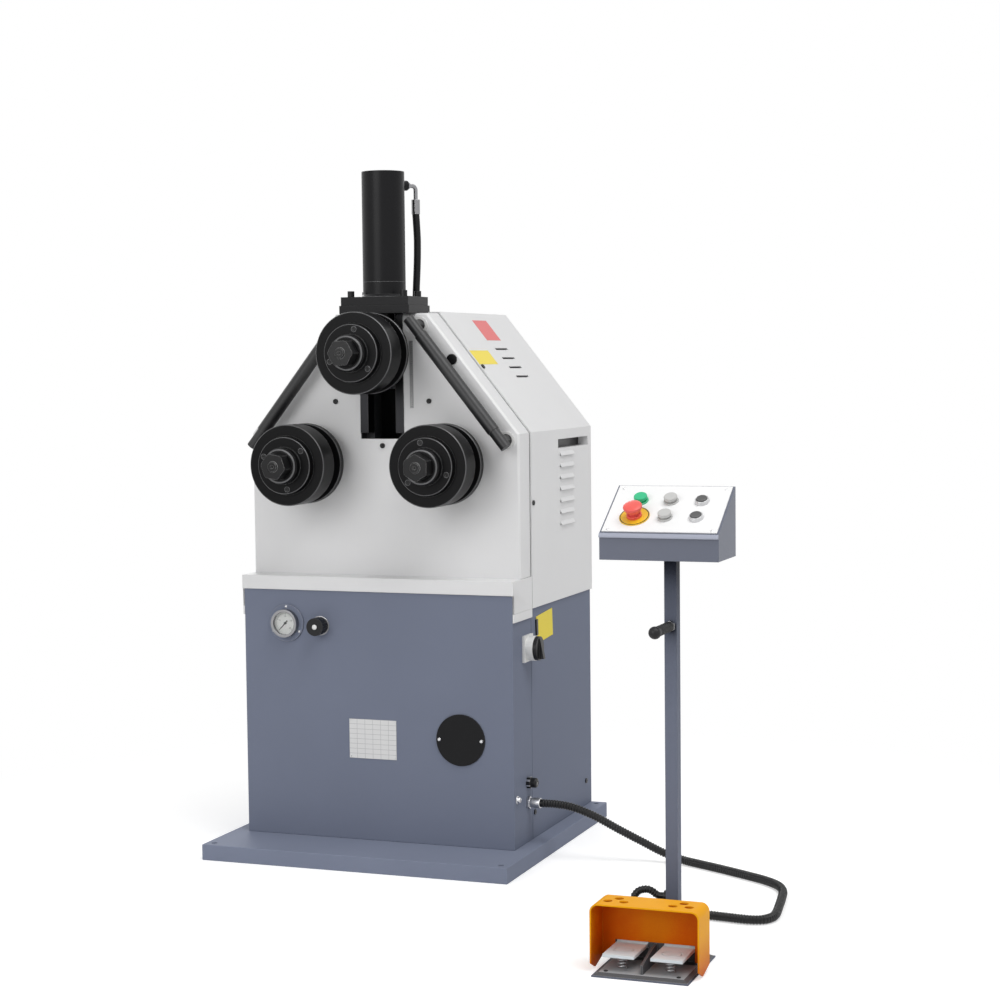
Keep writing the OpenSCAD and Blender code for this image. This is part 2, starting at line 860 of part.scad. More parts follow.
// Triangles of a skin of rings
function skin(count, n, first, flip) = [
    for (i = [0 : count - 2], k = [0 : n - 1])
        let (a = first + i * n + k, b = first + i * n + (k + 1) % n, c = a + n, d = b + n)
            each flip ? [[a, b, c], [b, d, c]] : [[a, c, b], [b, c, d]]];

// Solid tube, with one radius to each point
module solid_tube(p, r, n, start) {
    m = len(p);
    e = n * (m - 1);
    ends = [for (k = [1 : n - 2]) each [[0, k, k + 1], [e, e + k + 1, e + k]]];
    polyhedron(points = rings(p, r, n, start), faces = concat(skin(m, n, 0, false), ends));
}

// Hollow tube with an outer skin and a bore
module hollow_tube(p, r, q, bore, n, start) {
    m = len(p);
    b = len(q);
    o = m * n;
    face = [for (k = [0 : n - 1]) let (j = (k + 1) % n) each [[k, j, o + k], [j, o + j, o + k]]];
    e0 = (m - 1) * n;
    e1 = o + (b - 1) * n;
    back = [for (k = [0 : n - 1]) let (j = (k + 1) % n)
        each [[e0 + k, e1 + k, e0 + j], [e0 + j, e1 + k, e1 + j]]];
    polyhedron(points = concat(rings(p, r, n, start), rings(q, [for (x = q) bore], n, start)),
        faces = concat(skin(m, n, 0, false), skin(b, n, o, true), face, back));
}

// Ribbed conduit along a route, plain at each end
module ribbed_conduit(route, d, bore, ribs, start) {
    p = dense(route, 12);
    s = lengths(p);
    total = s[len(s) - 1];
    pitch = (total - d) / ribs;
    marks = concat([0], [for (i = [0 : 2 * ribs]) d / 2 + i * pitch / 2], [total]);
    radii = concat([d / 2 - rib_in], [for (i = [0 : 2 * ribs]) d / 2 - (i % 2 == 0 ? rib_in : 0)],
        [d / 2 - rib_in]);
    inner = concat([0], [for (i = [0 : 2 : ribs]) d / 2 + i * pitch],
        ribs % 2 == 0 ? [] : [total - d / 2], [total]);
    hollow_tube([for (m = marks) at(p, s, m)], radii, [for (m = inner) at(p, s, m)], bore / 2, 8, start);
}

// Gears

// Half the angle that a tooth fills at a radius
function tooth_half(teeth, r) =
    let (rp = gear_module * teeth / 2,
         rb = rp * cos(20),
         inv = function (a) tan(a) - a * PI / 180,
         aw = acos(min(1, rb / max(r, rb))))
    90 / teeth - backlash / 2 / rp * 180 / PI + (inv(20) - inv(aw)) * 180 / PI;

// Point at a radius and an angle
function polar(r, a) = r * [cos(a), sin(a)];

// Outline of a spur gear with a tooth pointing along X
module gear_outline(teeth) {
    rp = gear_module * teeth / 2;
    steps = [rp - 1.25 * gear_module, rp, rp + gear_module];
    polygon([for (i = [0 : teeth - 1]) let (a = 360 * i / teeth) each concat(
        [for (r = steps) polar(r, a - tooth_half(teeth, r))],
        [for (k = [2 : -1 : 0]) polar(steps[k], a + tooth_half(teeth, steps[k]))])]);
}

// Screws

// Socket screw head along Z
module socket_head(d, h) {
    difference() {
        cylinder(d = d, h = h);
        translate([0, 0, h / 2]) cylinder(d = d * 0.55, h = h, $fn = 6);
    }
}

// Socket screw head that looks to the front
module front_screw(x, y, z, d = screw_d, h = screw_h) {
    translate([x, y, z]) rotate([90, 0, 0]) socket_head(d, h);
}

// Socket screw heads on both sides
module side_screws(x, y, z) {
    for (s = [0, 1]) mirror([s, 0, 0])
        translate([x, y, z]) rotate([0, 90, 0]) socket_head(screw_d, screw_h);
}

// Cabinet and body

module base_pan() {
    color(grey) difference() {
        block([-base_w / 2, -base_d / 2, 0], [base_w / 2, base_d / 2, base_h]);
        for (s = [0, 1]) mirror([0, s, 0])
            block([base_t - base_w / 2, base_rib_w / 2, -1],
                [base_w / 2 - base_t, base_d / 2 - base_t, base_h - base_t]);
        for (sx = [-1, 1], sy = [-1, 1])
            translate([sx * (base_w / 2 - anchor_inset), sy * (base_d / 2 - anchor_inset), 0])
                cylinder(d = anchor_d, h = base_h + 1);
    }
}

module cabinet_front() {
    color(grey) difference() {
        union() {
            block([-body_half, front_y, base_top], [body_half, front_y + cab_sheet, cab_top]);
            for (s = [0, 1]) mirror([s, 0, 0]) {
                block([body_half - cab_sheet, front_y, base_top], [body_half, seam_y, cab_top]);
                block([body_half - column_flange, seam_y - cab_sheet, base_top],
                    [body_half, seam_y, cab_top]);
            }
        }
        bar_y(gauge_cx, gauge_z, gauge_body_d + 1, front_y - 1, front_y + cab_sheet + 1);
        bar_y(knob_cx, knob_z, reg_neck_d + 1, front_y - 1, front_y + cab_sheet + 1);
        bar_y(inspect_cx, inspect_z, inspect_hole_d, front_y - 1, front_y + cab_sheet + 1);
    }
}

module lower_rear_cover() {
    y0 = seam_y + seam_gap;
    color(grey) difference() {
        block([-body_half, y0, base_top], [body_half, rear_y, split_z + cover_lap]);
        block([cab_sheet - body_half, y0 + cab_sheet, base_top - 1],
            [body_half - cab_sheet, rear_y - cab_sheet, split_z + cover_lap + 1]);
        block([column_flange - body_half, y0 - 1, base_top - 1],
            [body_half - column_flange, y0 + cab_sheet + 1, split_z + cover_lap + 1]);
    }
}

module ledge_plate() {
    half = body_half + ledge_over;
    y0 = front_y - ledge_over;
    color(white) {
        block([-half, y0, ledge_top - ledge_t], [half, plate_front, ledge_top]);
        block([-half, y0, cab_top], [half, front_y, ledge_top]);
        for (s = [0, 1]) mirror([s, 0, 0])
            block([body_half, front_y, split_z], [half, seam_y, ledge_top]);
    }
}

module front_housing() {
    color(white) difference() {
        hull() {
            along_y(panel_y, panel_y + 0.01) polygon(house(edge_bevel, ledge_top));
            along_y(panel_y + edge_bevel, seam_y) polygon(house(0, ledge_top));
        }
        along_y(plate_front, seam_y + 1) polygon(house(skin_t, ledge_top - 1));
        block([-slot_w / 2, panel_y - 1, slot_floor], [slot_w / 2, plate_back + 1, roof_z + 1]);
        block([-cheek_half - 1, plate_back - 1, slot_floor], [cheek_half + 1, seam_y + 1, roof_z + 1]);
        for (s = [-1, 1])
            bar_y(s * roll_x, roll_z, hub_d + 2, panel_y - 1, plate_front + 1);
        bar_y(plug_cx, plug_z, plug_d - 6, panel_y - 1, plate_front + 1);
    }
}

// Hood over the slit of a louvre, in X and Z
module louvre_hood(x, z) {
    polygon([[x, z + louvre_slit + louvre_out], [x, z + louvre_slit], [x + louvre_out - 2, z],
        [x + louvre_out, z]]);
}

module upper_rear_cover() {
    y0 = seam_y + seam_gap;
    y1 = rear_y + cover_sheet;
    side = body_half + cover_sheet;
    pocket_y = seam_y + pocket_back;
    pocket_z = eaves_z - pocket_drop;
    slits = [for (i = [0 : louvre_n - 1]) eaves_z - louvre_drop - i * louvre_pitch];
    color(white) {
        difference() {
            along_y(y0, y1) polygon(house(-cover_sheet, split_z));
            along_y(y0 - 1, rear_y) polygon(house(0, split_z - 1));
            block([-bed_half - 2, y0 - 1, roof_z - 1],
                [bed_half + 2, bed_back + 2, roof_z + cover_sheet + 1]);
            translate([hose_x, hose_y, roof_z - 1]) cylinder(d = hose_d + 6, h = cover_sheet + 2);
            for (s = [-1, 1]) {
                for (z = slits)
                    translate([s * body_half - 10, seam_y + louvre_back, z])
                        cube([20, louvre_len, louvre_slit]);
                for (i = [0 : vent_n - 1]) on_slope(s, vent_drop + i * vent_pitch, vent_back)
                    translate([-vent_w / 2, -vent_len / 2, -10]) cube([vent_w, vent_len, 20]);
                translate([s * body_half - 10, pocket_y, pocket_z - pocket_h / 2])
                    cube([20, pocket_len, pocket_h]);
            }
        }
        for (s = [0, 1]) mirror([s, 0, 0]) {
            for (z = slits)
                along_y(seam_y + louvre_back, seam_y + louvre_back + louvre_len) louvre_hood(side, z);
            difference() {
                translate([side - pocket_in, pocket_y - 2, pocket_z - pocket_h / 2 - 2])
                    cube([pocket_in - 1, pocket_len + 4, pocket_h + 4]);
                translate([side - pocket_in + 2, pocket_y, pocket_z - pocket_h / 2])
                    cube([pocket_in + 2, pocket_len, pocket_h]);
            }
        }
    }
}

module cabinet_frame() {
    half = body_half - cab_sheet - 3;
    y0 = front_y + cab_sheet + 3;
    y1 = rear_y - cab_sheet - 23;
    color(dark) {
        difference() {
            block([-half, y0, low_deck], [half, y1, deck_top]);
            translate([hose_x, hose_y, low_deck - 1]) cylinder(d = hose_d + 6, h = deck_t + 2);
        }
        for (sx = [0, 1], y = [y0 + 4, y1 - post_s - 4]) mirror([sx, 0, 0]) difference() {
            translate([post_in, y, base_top]) cube([post_s, post_s, low_deck - base_top]);
            translate([post_in + post_t, y + post_t, base_top - 1])
                cube([post_s - 2 * post_t, post_s - 2 * post_t, low_deck - base_top]);
        }
    }
}

module front_frame_plate() {
    color(dark) difference() {
        union() {
            along_y(plate_front, plate_back) polygon(house(skin_t + 2, deck_top));
            for (s = [0, 1]) mirror([s, 0, 0])
                block([slide_half, plate_back - 1, slot_floor - gib_w],
                    [cheek_half, plate_back + cheek_d, roof_z]);
            for (s = [-1, 1])
                bar_y(s * roll_x, roll_z, hub_d, panel_y - hub_out, plate_front + 1);
        }
        block([-slot_w / 2, plate_front - 1, slot_floor], [slot_w / 2, plate_back, roof_z + 1]);
        for (s = [-1, 1]) {
            bar_y(s * roll_x, roll_z, bearing_d, plate_front, plate_back + 1);
            bar_y(s * roll_x, roll_z, shaft_d + 4, panel_y - hub_out - 1, plate_back);
        }
    }
}

module rear_frame_plate() {
    top = deck_top + rear_plate_h;
    tie_x = min(rear_plate_w / 2 - tie_edge, body_half - tie_in);
    color(dark) {
        difference() {
            intersection() {
                block([-rear_plate_w / 2, rear_plate_y, deck_top], [rear_plate_w / 2, rear_plate_back, top]);
                along_y(rear_plate_y, rear_plate_back) polygon(house(skin_t + 2, deck_top));
            }
            for (s = [-1, 1]) bar_y(s * roll_x, roll_z, bearing_d, rear_plate_y - 1, rear_plate_back + 1);
            bar_y(0, roll_z, pinion_shaft_d + 2 * fit, rear_plate_y - 1, rear_plate_back + 1);
        }
        for (s = [-1, 1], z = [deck_top + 2 * tie_d, top - 2 * tie_d])
            bar_y(s * tie_x, z, tie_d, plate_back, rear_plate_y + 1);
    }
}

module shaft_bearings() {
    color(steel) for (s = [-1, 1], y = [plate_front, rear_plate_y]) difference() {
        bar_y(s * roll_x, roll_z, bearing_d - 2 * fit, y, y + min(plate_t, rear_plate_t));
        bar_y(s * roll_x, roll_z, shaft_d + 2 * fit, y - 1, y + plate_t + 1);
    }
}

// Slide and cylinder

module slide_gibs() {
    color(steel) for (s = [0, 1]) mirror([s, 0, 0])
        block([slide_half, panel_y - gib_out, slot_floor + gib_lift], [slot_w / 2, plate_back, roof_z]);
}

module slide_block() {
    half = slide_half - slide_clear;
    y0 = panel_y + 2;
    color(dark) {
        difference() {
            block([-half, y0, top_z - slide_h / 2], [half, y0 + slide_d, slide_top]);
            bar_y(0, top_z, shaft_d + 2 * fit, y0 - 1, y0 + slide_d + 1);
        }
        translate([0, cyl_y, slide_top - 1]) cylinder(d = rod_d, h = piston_top - piston_t - slide_top + 2);
        translate([0, cyl_y, piston_top - piston_t]) cylinder(d = cyl_bore - 2 * fit, h = piston_t);
    }
}

module cylinder_bed() {
    color(black) difference() {
        block([-bed_half, bed_front, roof_z], [bed_half, bed_back, bed_top]);
        translate([0, cyl_y, roof_z - 1]) cylinder(d = rod_d + 2 * rod_clear, h = bed_t + 2);
    }
}

module cylinder_barrel() {
    color(black) difference() {
        union() {
            translate([-cyl_flange_w / 2, cyl_y - cyl_flange_d / 2, bed_top])
                cube([cyl_flange_w, cyl_flange_d, cyl_flange_t]);
            translate([0, cyl_y, cyl_flange_top - 1]) cylinder(d = barrel_d, h = barrel_h + 1);
            translate([0, cyl_y, cyl_flange_top])
                cylinder(d1 = barrel_d + 2 * weld_h, d2 = barrel_d, h = weld_h);
            translate([0, cyl_y, port_z]) rotate([0, 0, hose_turn]) rotate([0, 90, 0])
                translate([0, 0, cyl_bore / 2 + 5]) cylinder(d = port_d, h = port_reach - cyl_bore / 2 - 5);
        }
        translate([0, cyl_y, cyl_flange_top]) cylinder(d = cyl_bore, h = barrel_h - head_t);
        translate([0, cyl_y, bed_top - 1]) cylinder(d = rod_d + 2 * rod_clear, h = cyl_flange_t + 2);
    }
}

module hose_fitting() {
    reach = norm([hose_top_x, hose_y - cyl_y]);
    color(steel) {
        translate([0, cyl_y, port_z]) rotate([0, 0, hose_turn]) {
            rotate([0, 90, 0]) translate([0, 0, port_reach]) cylinder(d = elbow_d + 8, h = 6, $fn = 6);
            rotate([0, 90, 0]) translate([0, 0, port_reach + 5])
                cylinder(d = elbow_d, h = reach - elbow_bend - port_reach - 5);
            translate([reach - elbow_bend, 0, -elbow_bend]) rotate([90, 0, 0])
                rotate_extrude(angle = 90) translate([elbow_bend, 0]) circle(d = elbow_d);
            translate([reach, 0, -elbow_bend - elbow_drop - 1]) cylinder(d = elbow_d, h = elbow_drop + 1);
        }
        translate([hose_top_x, hose_y, ferrule_bottom]) cylinder(d = ferrule_d, h = ferrule_l);
    }
}

module hydraulic_hose() {
    p = dense(hose_route, 3);
    color(black) solid_tube(p, [for (q = p) hose_d / 2], 10, [1, 0, 0]);
}

// Side rod with its stand-offs
module side_rod() {
    reach = side_rod_l / 2 + standoff_at;
    translate([body_half, panel_y, eaves_z]) rotate([0, slope_deg - 90, 0])
        translate([-rod_inside, 0, slope_len - rod_mid]) {
            translate([0, -rod_out, -side_rod_l / 2]) cylinder(d = side_rod_d, h = side_rod_l);
            translate([0, -rod_out, -side_rod_l / 2 - rod_end_l])
                cylinder(d = rod_end_d, h = side_rod_l + 2 * rod_end_l);
            for (s = [-1, 1]) {
                hex_y(0, s * reach, standoff_af, -rod_out, -washer_t / 2, 30);
                bar_y(0, s * reach, washer_d, -washer_t, 0);
            }
        }
}

module left_side_rod() { color(black) mirror([1, 0, 0]) side_rod(); }
module right_side_rod() { color(black) side_rod(); }

module socket_screws() {
    color(dark) {
        for (sx = [-1, 1], sy = [-1, 1])
            translate([sx * bolt_dx / 2, cyl_y + sy * bolt_dy / 2, cyl_flange_top])
                socket_head(bolt_head_d, bolt_head_h);
        for (s = [-1, 1]) {
            front_screw(s * panel_screw_x, panel_y, panel_screw_z);
            front_screw(inspect_cx + s * inspect_screw_x, front_y - inspect_t, inspect_z, inspect_screw_d);
            on_slope(s, slope_screw_drop, screw_d) socket_head(screw_d, screw_h);
        }
        front_screw(0, panel_y, low_screw_z);
        side_screws(body_half + cover_sheet, seam_y + screw_d, side_screw_z);
        side_screws(body_half, seam_y + seam_gap + screw_d, base_top + low_screw_up);
        side_screws(body_half, rear_y - rear_screw_in, base_top + low_screw_up);
    }
}

// Gauge, regulator and front covers

module gauge_case() {
    face = front_y - gauge_out;
    dial = front_y - gauge_flange_t * 2;
    color(black) difference() {
        union() {
            bar_y(gauge_cx, gauge_z, gauge_flange_d, front_y - gauge_flange_t, front_y);
            bar_y(gauge_cx, gauge_z, gauge_bezel_d, face, front_y);
            bar_y(gauge_cx, gauge_z, gauge_body_d, front_y - 1, front_y + gauge_in);
        }
        bar_y(gauge_cx, gauge_z, dial_d, face + lens_lip, dial);
        bar_y(gauge_cx, gauge_z, dial_d - 4, face - 1, dial);
        bar_y(gauge_cx, gauge_z, needle_pin_d + 2 * fit, dial - 1, dial + 5);
    }
}

module gauge_lens() {
    y0 = front_y - gauge_out + lens_lip;
    color(glass) bar_y(gauge_cx, gauge_z, dial_d - 2 * fit, y0 + fit, y0 + lens_t);
}

module gauge_needle() {
    dial = front_y - gauge_flange_t * 2;
    long = dial_d / 2 - 5;
    color(red) translate([gauge_cx, dial, gauge_z]) rotate([90, 0, 0]) rotate([0, 0, needle_deg]) {
        translate([0, 0, 1.5]) linear_extrude(0.8)
            polygon([[-8, -1.5], [long, -0.5], [long, 0.5], [-8, 1.5]]);
        translate([0, 0, 0.3]) cylinder(d = 6, h = 2.5);
        translate([0, 0, -4]) cylinder(d = needle_pin_d, h = 5);
    }
}

module regulator_valve() {
    y0 = front_y + cab_sheet;
    color(steel) difference() {
        union() {
            translate([knob_cx - reg_s / 2, y0, knob_z - reg_s / 2])
                cube([reg_s, reg_s, reg_s]);
            bar_y(knob_cx, knob_z, reg_neck_d, front_y - 1, y0 + 1);
            hex_y(knob_cx, knob_z, reg_neck_d + 6, front_y - reg_nut_t, front_y);
        }
        bar_y(knob_cx, knob_z, stem_d + 2 * fit, front_y - reg_nut_t - 1, y0 + stem_in);
    }
}

module regulator_knob() {
    y1 = front_y - reg_nut_t - 1;
    color(black) {
        difference() {
            bar_y(knob_cx, knob_z, knob_d, y1 - knob_l, y1);
            for (i = [0 : 11]) let (q = polar(knob_d / 2 + 1, 30 * i))
                bar_y(q[0] + knob_cx, q[1] + knob_z, 5, y1 - knob_l + 3, y1 + 1);
        }
        bar_y(knob_cx, knob_z, stem_d, y1 - 1, front_y + cab_sheet + stem_in - 1);
    }
}

module blanking_covers() {
    color(black) {
        bar_y(inspect_cx, inspect_z, inspect_d, front_y - inspect_t, front_y);
        bar_y(plug_cx, plug_z, plug_d, panel_y - 3, panel_y);
        bar_y(plug_cx, plug_z, plug_d - 7, panel_y - 1, plate_front - 0.5);
    }
}

// Main switch and glands

module switch_base() {
    y = front_y + switch_back;
    color(white) difference() {
        union() {
            translate([body_half, y - switch_w / 2, switch_z - switch_h / 2])
                cube([switch_out / 4, switch_w, switch_h]);
            bar_x(y, switch_z, switch_knob_d + 2, body_half, body_half + switch_out);
        }
        bar_x(y, switch_z, stem_d + 2 * fit, body_half + switch_out - stem_in, body_half + switch_out + 1);
    }
}

module switch_knob() {
    y = front_y + switch_back;
    x0 = body_half + switch_out + 0.3;
    r = switch_knob_d / 2 - 4;
    color(black) {
        bar_x(y, switch_z, switch_knob_d, x0, x0 + switch_knob_t);
        along_y(y - stem_d / 2, y + stem_d / 2) translate([x0, switch_z])
            polygon([[0, -r], [switch_knob_t + switch_grip, -r], [switch_knob_t + 2, r], [0, r]]);
        bar_x(y, switch_z, stem_d, x0 - stem_in + 1, x0 + 1);
    }
}

// Fitting along Z
module gland(af, d, length, bore) {
    difference() {
        union() {
            cylinder(d = af / cos(30), h = length * 0.4, $fn = 6);
            cylinder(d = d, h = length);
        }
        translate([0, 0, -1]) cylinder(d = bore, h = length + 2);
    }
}

module cable_glands() {
    y = front_y + gland_back;
    color(steel) {
        translate([body_half, y, supply_z]) rotate([0, 90, 0])
            gland(supply_af, supply_af - 3, supply_l, supply_bore);
        translate([body_half, y, conduit_z]) rotate([0, 90, 0])
            gland(conduit_d + 6, conduit_d + 3, fitting_l, conduit_bore);
        translate([post_x - ped_s / 2, post_y, post_conduit_z]) rotate([0, -90, 0])
            gland(conduit_d + 4, conduit_d + 3, small_fitting_l, conduit_bore);
        translate([post_x - ped_s / 2, post_y, post_pedal_z]) rotate([0, -90, 0])
            gland(lead_d + 4, lead_d + 2, post_fitting_l, lead_bore);
        translate([ped_x - housing_fitting_x, housing_back_y, housing_fitting_z]) rotate([-90, 0, 0])
            gland(lead_d + 4, lead_d + 2, small_fitting_l, lead_bore);
    }
}

// Power pack and drive

module oil_tank() {
    color(blue) {
        difference() {
            translate([tank_x, tank_y, base_top]) cube([tank_w, tank_d, tank_h]);
            translate([tank_x + tank_t, tank_y + tank_t, base_top + tank_t])
                cube([tank_w - 2 * tank_t, tank_d - 2 * tank_t, tank_h - 2 * tank_t]);
        }
        translate([tank_x + tank_w - 50, tank_y + 60, base_top + tank_h - 1]) cylinder(d = 46, h = 26);
    }
}

module pump_motor() {
    color(blue) translate([tank_x + tank_w * 0.4, tank_y + tank_d / 2, base_top + tank_h]) {
        cylinder(d = pump_d + 30, h = 14);
        cylinder(d = pump_d, h = pump_h);
        for (i = [0 : 17]) rotate([0, 0, 20 * i])
            translate([pump_d / 2 - 2, -2, 24]) cube([10, 4, 0.7 * pump_h]);
        translate([0, 0, pump_h - 40]) cylinder(d = pump_d + 16, h = 40);
    }
}

module valve_block() {
    color(steel) {
        translate([hose_x - valve_w / 2, hose_y - valve_d / 2, low_deck - valve_h])
            cube([valve_w, valve_d, valve_h]);
        bar_x(hose_y, low_deck - valve_h / 2, coil_d, hose_x - valve_w / 2 - coil_l,
            hose_x + valve_w / 2 + coil_l);
    }
}

module gear_motor() {
    z0 = roll_z - gearbox_h / 2;
    color(blue) {
        difference() {
            translate([-gearbox_w / 2, gearbox_y, z0]) cube([gearbox_w, gearbox_d, gearbox_h]);
            bar_y(0, roll_z, pinion_shaft_d + 2 * fit, gearbox_y - 1, gearbox_y + 0.4 * gearbox_d);
        }
        bar_y(0, roll_z, motor_d, gearbox_y + gearbox_d - 1, gearbox_y + gearbox_d + motor_l);
        for (sx = [-1, 1], sz = [-1, 1])
            bar_y(sx * gearbox_w / 4, roll_z + sz * 0.4 * gearbox_h, tie_d, rear_plate_back, gearbox_y + 1);
    }
}

module electric_panel() {
    x1 = post_in;
    z0 = (base_top + low_deck - elec_h) / 2;
    color(steel) {
        block([x1 - post_t, front_y + post_s / 2, z0], [x1, rear_y - post_s, z0 + elec_h]);
        for (i = [2 : 5], k = [0.15, 0.55])
            translate([x1 - elec_pitch, front_y + i * elec_pitch, z0 + k * elec_h])
                cube([elec_pitch, 0.7 * elec_pitch, elec_h / 4]);
    }
}

// Bevelled ring of a roll
module roll_ring(r, h) {
    b = min(roll_bevel, h / 3);
    bore = shaft_r + fit;
    rotate_extrude() polygon([[bore, 0], [r - b, 0], [r, b], [r, h - b], [r - b, h], [bore, h]]);
}

// Roll of three rings from its rear face along Z, with clamp plate and nut
module roll(flange, turn, nut_turn) {
    r = roll_d / 2;
    g = groove_d / 2;
    top = flange + groove_w + rim_w;
    roll_ring(r, flange);
    translate([0, 0, flange + fit]) roll_ring(g, groove_w - 2 * fit);
    translate([0, 0, flange + groove_w]) roll_ring(r, rim_w);
    translate([0, 0, top + fit]) difference() {
        cylinder(d = boss_d, h = boss_t);
        translate([0, 0, -1]) cylinder(d = thread_d + 2 * fit, h = boss_t + 2);
        for (i = [0 : 2]) rotate([0, 0, turn + 120 * i])
            translate([boss_screw_r, 0, boss_t - boss_screw_in])
                cylinder(d = boss_screw_d, h = boss_screw_in + 1);
    }
    translate([0, 0, top + boss_t + 2 * fit]) difference() {
        union() {
            cylinder(d = collar_d, h = collar_t);
            rotate([0, 0, nut_turn]) cylinder(d = nut_af / cos(30), h = collar_t + nut_t, $fn = 6);
        }
        translate([0, 0, -1]) cylinder(d = thread_d + 2 * fit, h = collar_t + nut_t + 2);
    }
}

// Front end of a shaft, from the rear face of its roll
module shaft_front(length) {
    cylinder(d = shaft_d, h = length);
    cylinder(d = thread_d, h = length + boss_t + collar_t + nut_t - shaft_end_in);
}

// Lower shaft with its collars
module lower_shaft(x) {
    translate([x, roll_back, roll_z]) rotate([90, 0, 0]) shaft_front(roll_len);
    bar_y(x, roll_z, shoulder_d, roll_back + fit, panel_y - hub_out - 0.3);
    bar_y(x, roll_z, shaft_d, roll_back - 1, gear_y + gear_w + 6);
    bar_y(x, roll_z, shaft_d + 16, rear_plate_back + 0.5, gear_y - fit);
    bar_y(x, roll_z, shaft_d + 16, gear_y + gear_w + fit, gear_y + gear_w + 8);
}

// Gear of a lower roll
module roll_gear(x) {
    difference() {
        translate([x, 0, roll_z]) along_y(gear_y, gear_y + gear_w) gear_outline(gear_teeth);
        bar_y(x, roll_z, shaft_d + 2 * fit, gear_y - 1, gear_y + gear_w + 1);
    }
}

module top_shaft() {
    slide_back = panel_y + 2 + slide_d;
    color(steel) {
        translate([0, top_roll_back, top_z]) rotate([90, 0, 0]) shaft_front(top_roll_len);
        bar_y(0, top_z, shoulder_d, top_roll_back + fit, panel_y - gib_out - 1);
        bar_y(0, top_z, shaft_d, top_roll_back - 1, slide_back + 8);
        bar_y(0, top_z, shaft_d + 12, slide_back + 0.3, slide_back + 8);
    }
}

module top_roll() {
    color(black) translate([0, top_roll_back, top_z]) rotate([90, 0, 0]) roll(top_flange_w, top_turn, 30);
}

module left_shaft() { color(steel) lower_shaft(-roll_x); }

module left_roll() {
    color(black) translate([-roll_x, roll_back, roll_z]) rotate([90, 0, 0]) roll(flange_w, left_turn, 20);
}

module left_gear() { color(dark) roll_gear(-roll_x); }
module right_shaft() { color(steel) lower_shaft(roll_x); }

module right_roll() {
    color(black) translate([roll_x, roll_back, roll_z]) rotate([90, 0, 0]) roll(flange_w, right_turn, 0);
}

module right_gear() { color(dark) roll_gear(roll_x); }

module drive_pinion() {
    color(dark) {
        translate([0, gear_y + gear_w, roll_z]) rotate([90, 0, 0]) rotate([0, 0, 180 / pinion_teeth])
            linear_extrude(gear_w) gear_outline(pinion_teeth);
        bar_y(0, roll_z, pinion_shaft_d, rear_plate_y + 3, gearbox_y + 38);
    }
}

// Conduits

module machine_conduit() {
    color(dark)
        ribbed_conduit(conduit_route, conduit_d, conduit_bore, conduit_ribs, [0, 1, 0]);
}

module pedal_conduit() {
    color(dark)
        ribbed_conduit(pedal_route, lead_d, lead_bore, lead_ribs, [1, 0, 0]);
}

// Pedestal and console

module pedestal_post() {
    w = pedal_base_w / 2 + 2;
    color(grey) {
        block([ped_x - w, pedal_front_y - 2, 0], [ped_x + w, pedal_front_y + pedal_base_d + 2, foot_t]);
        block([post_x - tongue_w / 2, pedal_front_y, 0],
            [post_x + tongue_w / 2, post_back + tongue_back, foot_t]);
        difference() {
            translate([post_x - ped_s / 2, post_front, foot_t - 1])
                cube([ped_s, ped_s, console_z - foot_t + 1]);
            translate([post_x - ped_s / 2 + ped_t, post_front + ped_t, foot_t])
                cube([ped_s - 2 * ped_t, ped_s - 2 * ped_t, console_z]);
            bar_x(post_y, post_conduit_z, conduit_bore, post_x - ped_s, post_x);
            bar_x(post_y, post_pedal_z, lead_bore, post_x - ped_s, post_x);
        }
    }
}

module grip_handle() {
    r = grip_d / 2;
    color(black) translate([post_x, post_front, grip_z]) rotate([90, 0, 0]) {
        cylinder(d = (r - 1) * 2, h = grip_nut_l + 1, $fn = 6);
        translate([0, 0, grip_nut_l]) rotate_extrude() polygon(concat([[0, 0], [r - 1, 0], [r, 2]],
            [for (a = [0 : 15 : 90]) [r * cos(a), grip_l - r + r * sin(a)]]));
    }
}

module console_box() {
    x0 = console_x - console_w / 2;
    z0 = console_z;
    t = console_t;
    drop = t / cos(panel_deg);
    lean = t * tan(panel_deg);
    color(grey) difference() {
        along_x(x0, x0 + console_w) polygon([[console_front_y, z0], [console_rear_y, z0],
            [console_rear_y, z0 + console_back_h], [console_front_y, z0 + console_front_h]]);
        along_x(x0 + t, x0 + console_w - t) polygon([
            [console_front_y + t, z0 + t], [console_rear_y - t, z0 + t],
            [console_rear_y - t, z0 + console_back_h - drop - lean],
            [console_front_y + t, z0 + console_front_h - drop + lean]]);
        on_panel(0, panel_len / 2, -t - 1)
            translate([-console_w / 2 + console_rim, console_rim - panel_len / 2, 0])
                cube([console_w - 2 * console_rim, panel_len - 2 * console_rim, t + 2]);
    }
}

module console_panel() {
    hole = button_cap_d + 2 * button_clear;
    color(white) difference() {
        union() {
            on_panel(-console_w / 2 + panel_margin, panel_margin)
                cube([console_w - 2 * panel_margin, panel_len - 2 * panel_margin, panel_t]);
            for (b = button_places) on_panel(b[0], b[1])
                cylinder(d = button_collar_d, h = panel_t + button_collar_h);
            on_panel(stop_place[0], stop_place[1]) cylinder(d = stop_disc_d, h = panel_t + 1.5);
            on_panel(stop_place[0], stop_place[1])
                cylinder(d = button_collar_d, h = stop_h - stop_head_h - stop_travel - 2);
        }
        for (b = concat(button_places, [stop_place])) on_panel(b[0], b[1], -1) cylinder(d = hole, h = stop_h);
    }
}

// Push button cap with its flange
module button(place, h) {
    under = 2 * button_travel;
    on_panel(place[0], place[1], -under) {
        cylinder(d = button_cap_d, h = panel_t + h + under);
        cylinder(d = button_cap_d + 4, h = button_travel);
    }
}

module start_button() { color(green) button(button_places[0], button_raised); }

